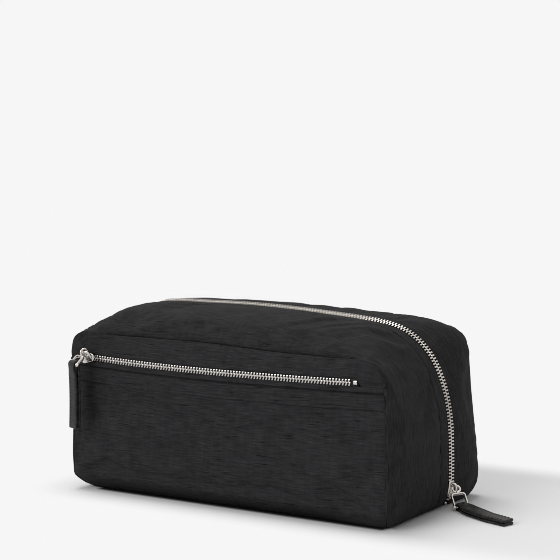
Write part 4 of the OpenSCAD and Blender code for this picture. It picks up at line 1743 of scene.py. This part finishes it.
@dataclass
class Slider:
    """A cast zip slider: two shield plates, a neck between them and a raised bridge for the bail.

    Local x runs along the travel as the zip opens, z out of the bag.
    """

    shop: Workshop
    plate_z: float = 1.4
    thick: float = 1.6
    under_z: float = 3.05
    under_t: float = 1.2
    bridge_z: float = 6.6
    long: float = 11.4
    wide: float = 10.4
    nose: float = 5.8
    lean: float = 0.0

    def outline(self, count: int = 72) -> Array:
        """Shield seen from above: width eases from the shoulders to the nose, with round ends."""
        a = np.linspace(0, 2 * np.pi, count, endpoint=False)
        x = np.sign(np.cos(a)) * np.abs(np.cos(a)) ** 0.4 * self.long / 2
        half = self.wide / 2 + (self.nose - self.wide) / 2 * smooth((x + self.long / 2) / self.long)
        return np.column_stack([x, np.sign(np.sin(a)) * np.abs(np.sin(a)) ** 0.45 * half])

    def plate(self, z0: float, z1: float, crown: float, lip: float) -> Solid:
        """Plate with rounded edges: rings of the outline, smaller towards the top and the bottom.

        Args:
            z0: lowest height.
            z1: highest height at the rim.
            crown: how far the outer face rises in the middle.
            lip: how far the long edges turn over the zip.

        Returns:
            Points and faces.
        """
        t = z1 - z0
        levels = (
            (0.35, z0, 0.25), (0.80, z0, 1.0), (0.93, z0 + 0.06 * t, 1.0), (1.0, z0 + 0.3 * t, 1.0),
            (1.0, z0 + 0.62 * t, 0.25), (0.95, z0 + 0.88 * t, 0.25), (0.86, z1, 0.25),
            (0.6, z1 + 0.55 * crown, 0.25), (0.3, z1 + crown, 0.25), (0.08, z1 + crown, 0.25),
        )
        scale, z, turned = np.array(levels).T[..., None]
        x, y = self.outline().T[:, None] * scale
        down = lip * turned * np.sign(z1) * smooth(np.abs(y) - 0.72 * self.wide / 2)
        return points(x, y, z - down).reshape(-1, 3), tube_faces(*x.shape)

    def bridge(self) -> Solid:
        """Bridge: a flattened bar up from the nose, over the eye and down to the tail."""
        a = np.linspace(0, np.pi, 29)
        top = self.plate_z + self.thick
        x = -4.05 * np.sign(np.cos(a)) * np.abs(np.cos(a)) ** 0.62 - 0.05
        z = top - 0.6 + (self.bridge_z - top + 0.75) * np.abs(np.sin(a)) ** 0.62
        path = points(x, self.lean * (z - z.min()) / (self.bridge_z - z.min()), z)
        foot = 1.0 - np.sin(a) ** 0.5
        size = np.column_stack([2.1 + 2.0 * foot, 1.35 + 0.5 * foot])
        return sweep(path, Y, out_of_bag(path), rings(size, 14, 2.6))

    def neck(self) -> Solid:
        """The wedge between the plates that parts the teeth."""
        path = points(self.long / 2 - 1.4, 0.0, np.linspace(-self.under_z - 0.5, self.plate_z + 0.5, 6))
        return sweep(path, X, Y, ring_section(2.6, 1.6))

    def build(self, word: str, place: Place) -> None:
        """Make one slider in its place."""
        verts, faces = join([
            self.plate(self.plate_z, self.plate_z + self.thick, 0.35, 0.9),
            self.plate(-self.under_z - self.under_t, -self.under_z, 0.0, -0.6),
            self.bridge(),
            self.neck(),
        ])
        body, node = f"{word}_zip_slider", f"{word}_slider"
        self.shop.solid(body, (place.put(verts), faces), Finish.NICKEL, body, node)


@dataclass
class Bail:
    """Flat-sided link: an eye on the slider's bridge, a neck, two arms and a pin with ball ends.

    Local x runs from the eye to the pin, y along the pin.
    """

    shop: Workshop
    eye_r: float = 2.8
    wire: float = 0.85
    long: float = 15.0
    root: float = 3.6
    arm_y: float = 4.3
    arm: float = 1.4
    flat: float = 2.8
    bend: float = 1.9
    pin_r: float = 0.9
    ball_y: float = 5.7
    ball_r: float = 1.1

    def frame(self) -> Solid:
        """U-shaped bar: from one arm's end round the cross piece to the other arm's end."""
        y, x0, r = self.arm_y + self.arm / 2, self.root + self.arm / 2, self.bend
        a = np.linspace(0, np.pi / 2, 9)
        corner = np.column_stack([x0 + r - r * np.sin(a), -(y - r) - r * np.cos(a)])
        run = np.linspace(self.long, x0 + r + 0.4, 14)
        half = np.vstack([np.column_stack([run, np.full_like(run, -y)]), corner])
        line = np.vstack([half, half[::-1] * (1, -1)])
        path = points(line[:, 0], line[:, 1], 0.0)
        return sweep(path, unit(np.cross(Z, heading(path))), Z, ring_section(self.arm, self.flat, 12, 3.4))

    def eye(self, turned: bool) -> Solid:
        """Ring across the frame, or in its plane when turned, with a short thick root."""
        n, m = 40, 12
        a = np.linspace(0, 2 * np.pi, n, endpoint=False)[:, None]
        b = np.linspace(0, 2 * np.pi, m, endpoint=False)[None, :, None]
        plane, axis, wide = (Y, Z, 1.3) if turned else (Z, Y, 1.5)
        out = (np.cos(a) * X + np.sin(a) * plane)[:, None]
        pts = (self.eye_r + self.wire * np.cos(b)) * out + wide / 2 * np.sin(b) * axis
        root = points(np.linspace(self.eye_r - 0.3, self.root + 0.5, 6), 0.0, 0.0)
        size = np.column_stack([np.linspace(1.6, 2.9, 6), np.full(6, self.flat * 0.92)])
        ring = (pts.reshape(-1, 3), grid_faces(n, m, wrap_u=True, wrap_v=True))
        return join([ring, sweep(root, Y, Z, rings(size, 12, 3.0))])

    def ends(self) -> Solid:
        """Round boss on each arm's end, through which the pin goes."""
        parts = []
        size = np.array([0.84, 0.97, 1.0, 0.97, 0.84]) * 2 * (self.pin_r + 0.8)
        steps = np.array([-0.5, -0.38, 0.0, 0.38, 0.5]) * (self.arm + 0.1)
        for side in (-1, 1):
            run = points(self.long, side * (self.arm_y + self.arm / 2) + steps, 0.0)
            parts.append(sweep(run, X, Z, rings(size, 20)))
        return join(parts)

    def pin(self) -> Solid:
        """Straight pin with a ball at each end, as one turned shape."""
        a = np.linspace(0, np.pi, 13)
        r, x = np.sin(a) * self.ball_r, np.cos(a) * self.ball_r
        r = np.concatenate([r[:10], np.full(5, self.pin_r), r[3:]])
        y = np.concatenate([-self.ball_y - x[:10], np.linspace(-5.0, 5.0, 5), self.ball_y - x[3:]])
        return sweep(points(self.long, y, 0.0), X, Z, rings(2 * np.maximum(r, 0.03), 18))

    def build(self, word: str, place: Place, turned: bool) -> None:
        """Make the bail and its pin in their place."""
        body = f"{word}_bail"
        link = join([self.frame(), self.eye(turned), self.ends()])
        pieces = ((f"{word}_bail_link", link, body), (f"{word}_pin", self.pin(), f"{word}_pull_pin"))
        for name, (verts, faces), node in pieces:
            self.shop.solid(name, (place.put(verts), faces), Finish.NICKEL, body, node)


@dataclass
class LeatherPull:
    """Leather strap folded round its pin: two layers with a dark core line, sewn along both edges."""

    shop: Workshop
    wide: float = 11.0
    neck: float = 8.0
    layer: float = 2.0
    loop_r: float = 3.0
    meet: float = 13.0
    margin: float = 1.5
    thread: Thread = Thread(2.8, 0.6, 0.06)

    def strap(self, word: str, path: Array, out: Array, side: Array) -> None:
        """Make the strap and its stitches.

        The gap between its layers eases from the pin's loop to one layer's thickness.

        Args:
            word: which zip it belongs to.
            path: middle line from the pin to the tip.
            out: direction across the layers at each point.
            side: direction along the pin at each point.
        """
        name, body = f"{word}_leather_pull", f"{word}_pull"
        along = lengths(path)
        half = self.layer / 2 + 0.18 + (self.loop_r - self.layer) * (1 - smooth(along / self.meet))
        top, under = path + half[:, None] * out, path - half[:, None] * out
        back = -unit(path[1] - path[0])
        a = np.linspace(0, np.pi, 17)[1:-1, None]
        bend = np.cos(a) * out[0] + np.sin(a) * back
        line = np.vstack([top[::-1], path[0] + half[0] * bend, under])
        sides = np.vstack([side[::-1], np.repeat(side[:1], len(bend), axis=0), side])
        width = self.neck + (self.wide - self.neck) * smooth((along - 3.0) / 7.0)
        widths = np.concatenate([width[::-1], np.full(len(bend), self.neck), width])
        size = np.column_stack([widths, np.full_like(widths, self.layer)])
        size[[0, -1]] *= 0.94
        shape = sweep(line, sides, np.vstack([out[::-1], unit(bend), -out]), rings(size, 20, 7.0))
        self.shop.solid(name, shape, Finish.LEATHER, body, body, edge=(0.2, 50.0))
        keep = slice(int(0.2 * len(path)), len(path) - 2)
        for row, sign in (("near", -1), ("far", 1)):
            reach = sign * (width[keep, None] / 2 - self.margin) * side[keep]
            for face, middle, normal in (("top", top, out), ("under", under, -out)):
                run = middle[keep] + reach + (self.layer / 2 - 0.02) * normal[keep]
                self.shop.sew(f"{name}_{row}_{face}_thread", run, normal[keep], body, self.thread)

    def hanging(self, pin: Array, side: Array, long: float) -> None:
        """Pocket zip's pull: hangs straight down from its pin with a slight bow.

        Args:
            pin: the pin's middle.
            side: direction along the pin.
            long: the strap's length.
        """
        t = np.linspace(0, 1, 60)[:, None]
        out = unit(np.cross(side, -Z))
        path = pin - t * long * Z + 0.5 * np.sin(np.pi * t) * out
        self.strap("pocket", path, np.broadcast_to(out, path.shape), np.broadcast_to(side, path.shape))

    def lying(self, pin: Array, side: Array, long: float, course: float, stations: Array) -> None:
        """Main zip's pull: lies on the floor in a gentle curve.

        Args:
            pin: the pin's middle.
            side: direction along the pin.
            long: the strap's length.
            course: its direction on the floor, in degrees.
            stations: rows of share of the length, offset as a share, turn and roll in degrees.
        """
        t = np.linspace(0, 1, 70)
        at_pin = (0.0, 0.0, math.degrees(math.atan2(side[1], side[0])) - 90.0 - course, stations[0][3])
        table = np.vstack([at_pin, stations])
        kernel = np.hanning(15) / np.hanning(15).sum()
        fine = [np.interp(t, table[:, 0], column) for column in table[:, 1:].T]
        fine = [np.pad(f, 7, mode="reflect", reflect_type="odd") for f in fine]
        aside, turn, roll = (np.convolve(f, kernel, "valid") for f in fine)
        turn, roll = np.radians(turn + course), np.radians(roll)
        lie = points(-np.sin(turn) * np.cos(roll), np.cos(turn) * np.cos(roll), np.sin(roll))
        mix = smooth(t / 0.12)[:, None]
        lie = unit(mix * lie + (1 - mix) * side * np.sign(np.dot(lie[0], side)))
        c, s = math.cos(math.radians(course)), math.sin(math.radians(course))
        rest = self.layer + 0.4 + self.wide / 2 * np.abs(lie[:, 2])
        z = pin[2] + (rest - pin[2]) * smooth(t / 0.14)
        path = points(pin[0] + long * (c * t - s * aside), pin[1] + long * (s * t + c * aside), z)
        along = heading(path)
        out = unit(np.cross(along, lie))
        self.strap("main", path, out, unit(np.cross(out, along)))


@dataclass
class Pulls:
    """Both sets of slider, bail, pin and leather pull."""

    shop: Workshop
    longs: tuple = (49.0, 53.0)
    leans: tuple = (4.2, 0.0)
    course: float = -27.0
    stations: tuple = (
        (0.04, 0.0, -21.0, 6.0), (0.33, -0.055, -8.0, 9.0), (0.66, -0.06, 5.0, 4.0), (1.0, 0.0, 14.0, 0.0),
    )

    def bail_place(self, eye: Array, pin: Array, pin_axis: Array) -> Place:
        """Local frame of a bail: x from the eye to the pin and y along the pin."""
        x = unit(pin - eye)
        z = unit(np.cross(x, pin_axis))
        return Place(eye, np.column_stack([x, np.cross(z, x), z]))

    def build(self) -> None:
        """Make both sets, each slider with the directions of its travel, its side and out of the bag."""
        sets = (("pocket", "pocket_pull_swing", (X, Z, -Y)), ("main", "main_pull_lift", (Z, -Y, X)))
        for (word, lift_name, axes), long, lean in zip(sets, self.longs, self.leans):
            lift = joint(lift_name)
            eye, pin = np.array(joint(f"{word}_bail_swing")["pos_m"]) / MM, np.array(lift["pos_m"]) / MM
            pin_axis = -unit(np.array(lift["axis"], float))
            slider = Slider(self.shop, lean=lean)
            foot = eye - slider.bridge_z * axes[2] - lean * axes[1]
            slider.build(word, Place(foot, np.column_stack(axes)))
            bail = Bail(self.shop, long=float(np.linalg.norm(pin - eye)))
            bail.build(word, self.bail_place(eye, pin, pin_axis), turned=word == "main")
            strap = LeatherPull(self.shop)
            if word == "pocket":
                strap.hanging(pin, pin_axis, long)
            else:
                strap.lying(pin, pin_axis, long, self.course, np.array(self.stations))


# ---------------------------------------------------------------- stage


@dataclass
class Stage:
    """Pale floor that runs out to the world's tone, soft lights and the camera."""

    tone: float = 0.922
    lens: float = 98.4
    eye: tuple[float, float, float] = (0.6121, -0.98613, 0.26141)
    yaw: float = 0.5513
    pitch: float = 0.0844
    # Box round the bag's footprint inside which the floor is painted near black for the camera: a painted
    # contact shadow.
    painted_shadow_centre: tuple[float, float, float] = (0.004, 0.0, 0.0)
    painted_shadow_half: tuple[float, float, float] = (0.122, 0.062, 0.1)
    # Box under the bag's front where rays other than the camera's see a dark floor: painted shade that dims
    # the light bounced onto the bag's underside.
    painted_underside_shade_centre: tuple[float, float, float] = (-0.015, -0.02, 0.0)
    painted_underside_shade_half: tuple[float, float, float] = (0.085, 0.045, 0.1)
    shade_centre: tuple[float, float, float] = (0.06, 0.043, 0.0)
    shade_half: tuple[float, float, float] = (0.19, 0.103, 0.1)

    def floor(self) -> None:
        """Plain floor: white diffuse near the bag that fades to the world's tone away from it, with painted
        shadow: near black at the bag's footprint for camera rays and dark under its front for other rays.
        """
        t = np.linspace(0, 2 * np.pi, 96, endpoint=False)
        r = np.array([0.0005, 0.2, 0.5, 1.0, 2.0, 4.0, 9.0])
        pts = points(np.outer(r, np.cos(t)), np.outer(r, np.sin(t)), 0.0)
        obj = mesh_object("floor", pts.reshape(-1, 3) / MM, grid_faces(7, 96, wrap_v=True))
        g = Graph("pale_floor")
        g.set(rough=0.9, specular=0.0)
        camera = g.add("ShaderNodeLightPath").outputs["Is Camera Ray"]
        others = g.ramp(camera, 0.0, 1.0, 1.0, 0.0)
        # Painted contact shadow: the camera sees the floor near black within 6 mm of the bag's footprint.
        seen = g.ramp(self.distance(g, self.painted_shadow_centre, self.painted_shadow_half), 0.0, 0.006)
        # Painted shade: rays other than the camera's see the floor dark under the bag's front, so less light
        # bounces onto the bag's underside.
        painted_underside_shade = g.ramp(self.distance(g, self.painted_underside_shade_centre, self.painted_underside_shade_half), 0.0, 0.05)
        seen, painted_underside_shade = g.math("MULTIPLY", seen, camera), g.math("MULTIPLY", painted_underside_shade, others)
        # Floor colour: near black under the painted contact shadow and the painted underside shade, white
        # elsewhere.
        shade = g.mix(g.math("ADD", seen, painted_underside_shade), (0.03, 0.03, 0.03), (0.9, 0.9, 0.9))
        g.link(shade, g.shader.inputs["Base Color"])
        light = g.add("ShaderNodeEmission", color=(self.tone, self.tone, self.tone, 1.0))
        away = g.ramp(self.distance(g, self.shade_centre, self.shade_half), 0.0, 0.05)
        g.link(g.mix_shaders(away, g.shader.outputs["BSDF"], light.outputs[0]), g.output.inputs["Surface"])
        obj.data.materials.append(g.material)

    def distance(self, g: Graph, centre: tuple, half: tuple) -> Socket:
        """Distance on the floor from a box, in metres.

        Args:
            g: the graph that gets the nodes.
            centre: the box's centre.
            half: half of the box's sizes.

        Returns:
            The socket that holds the distance.
        """
        last = g.coords(False, (1, 1, 1))
        nought = (0.0, 0.0, 0.0)
        steps = (("SUBTRACT", centre), ("ABSOLUTE", nought), ("SUBTRACT", half), ("MAXIMUM", nought))
        for kind, other in steps:
            node = g.add("ShaderNodeVectorMath", operation=kind)
            node.inputs[1].default_value = other
            g.link(last, node.inputs[0])
            last = node.outputs[0]
        node = g.add("ShaderNodeVectorMath", operation="LENGTH")
        g.link(last, node.inputs[0])
        return node.outputs["Value"]

    def world(self) -> None:
        """Even pale surroundings; camera, glossy and transmission rays see the backdrop's tone.

        Metal sees surroundings that are dim at the horizon and bright overhead, a little warm.
        """
        world = bpy.data.worlds.new("studio")
        bpy.context.scene.world = world
        world.use_nodes = True
        tree = Tree(world.node_tree)
        path = tree.add("ShaderNodeLightPath").outputs
        glossy = path["Is Glossy Ray"]
        split = tree.add("ShaderNodeSeparateXYZ")
        tree.link(tree.add("ShaderNodeTexCoord").outputs["Generated"], split.inputs[0])
        height = tree.ramp(split.outputs["Z"], -0.05, 0.55, 0.30, 1.25, "LINEAR")
        sky = tree.mix(height, (0.0, 0.0, 0.0), (1.0, 0.975, 0.94))
        lit, seen = tree.add("ShaderNodeBackground", strength=0.5), tree.add("ShaderNodeBackground")
        tree.link(tree.mix(glossy, (self.tone, self.tone, self.tone), sky), seen.inputs["Color"])
        direct = tree.math("MAXIMUM", path["Is Camera Ray"], path["Is Transmission Ray"])
        direct = tree.math("MAXIMUM", direct, glossy)
        surface = tree.mix_shaders(direct, lit.outputs[0], seen.outputs[0])
        tree.link(surface, tree.add("ShaderNodeOutputWorld").inputs["Surface"])

    def lamp(self, name: str, toward: tuple[float, float, float], strength: float, angle: float) -> None:
        """Soft sun that shines along a direction."""
        data = bpy.data.lights.new(name, "SUN")
        data.energy = strength
        data.angle = math.radians(angle)
        obj = bpy.data.objects.new(name, data)
        obj.rotation_euler = Vector(toward).to_track_quat("-Z", "Y").to_euler()
        bpy.context.scene.collection.objects.link(obj)

    def camera(self) -> None:
        """Camera at the viewing place, its direction given by yaw and downward pitch."""
        data = bpy.data.cameras.new("camera")
        data.lens = self.lens
        data.sensor_width = 36.0
        data.clip_end = 50.0
        obj = bpy.data.objects.new("camera", data)
        c = math.cos(self.pitch)
        ahead = Vector((-math.sin(self.yaw) * c, math.cos(self.yaw) * c, -math.sin(self.pitch)))
        turn = ahead.to_track_quat("-Z", "Y").to_matrix().to_4x4()
        obj.matrix_world = Matrix.Translation(Vector(self.eye)) @ turn
        bpy.context.scene.collection.objects.link(obj)
        bpy.context.scene.camera = obj

    def build(self) -> None:
        """Set the stage."""
        bpy.context.scene.view_settings.view_transform = "Standard"
        bpy.context.scene.cycles.filter_width = 0.9
        self.floor()
        self.world()
        self.lamp("key", (0.25, -0.15, -1.0), 1.1, 30.0)
        self.lamp("fill", (0.35, 0.8, -0.45), 1.25, 40.0)
        self.camera()


def main() -> None:
    """Build the bag in order: stage, front, gussets, back, base, seams, inside, hook and pulls."""
    logging.basicConfig(level=logging.INFO, format="%(name)s: %(message)s")
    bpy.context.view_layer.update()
    Stage().build()
    shop = Workshop()
    for part in (FrontPanel, Gussets, BackPanel, Base, Seams, Linings, MeshPocket, CornerWebs, Hanger, Pulls):
        part(shop).build()


if __name__ == "__main__":
    main()
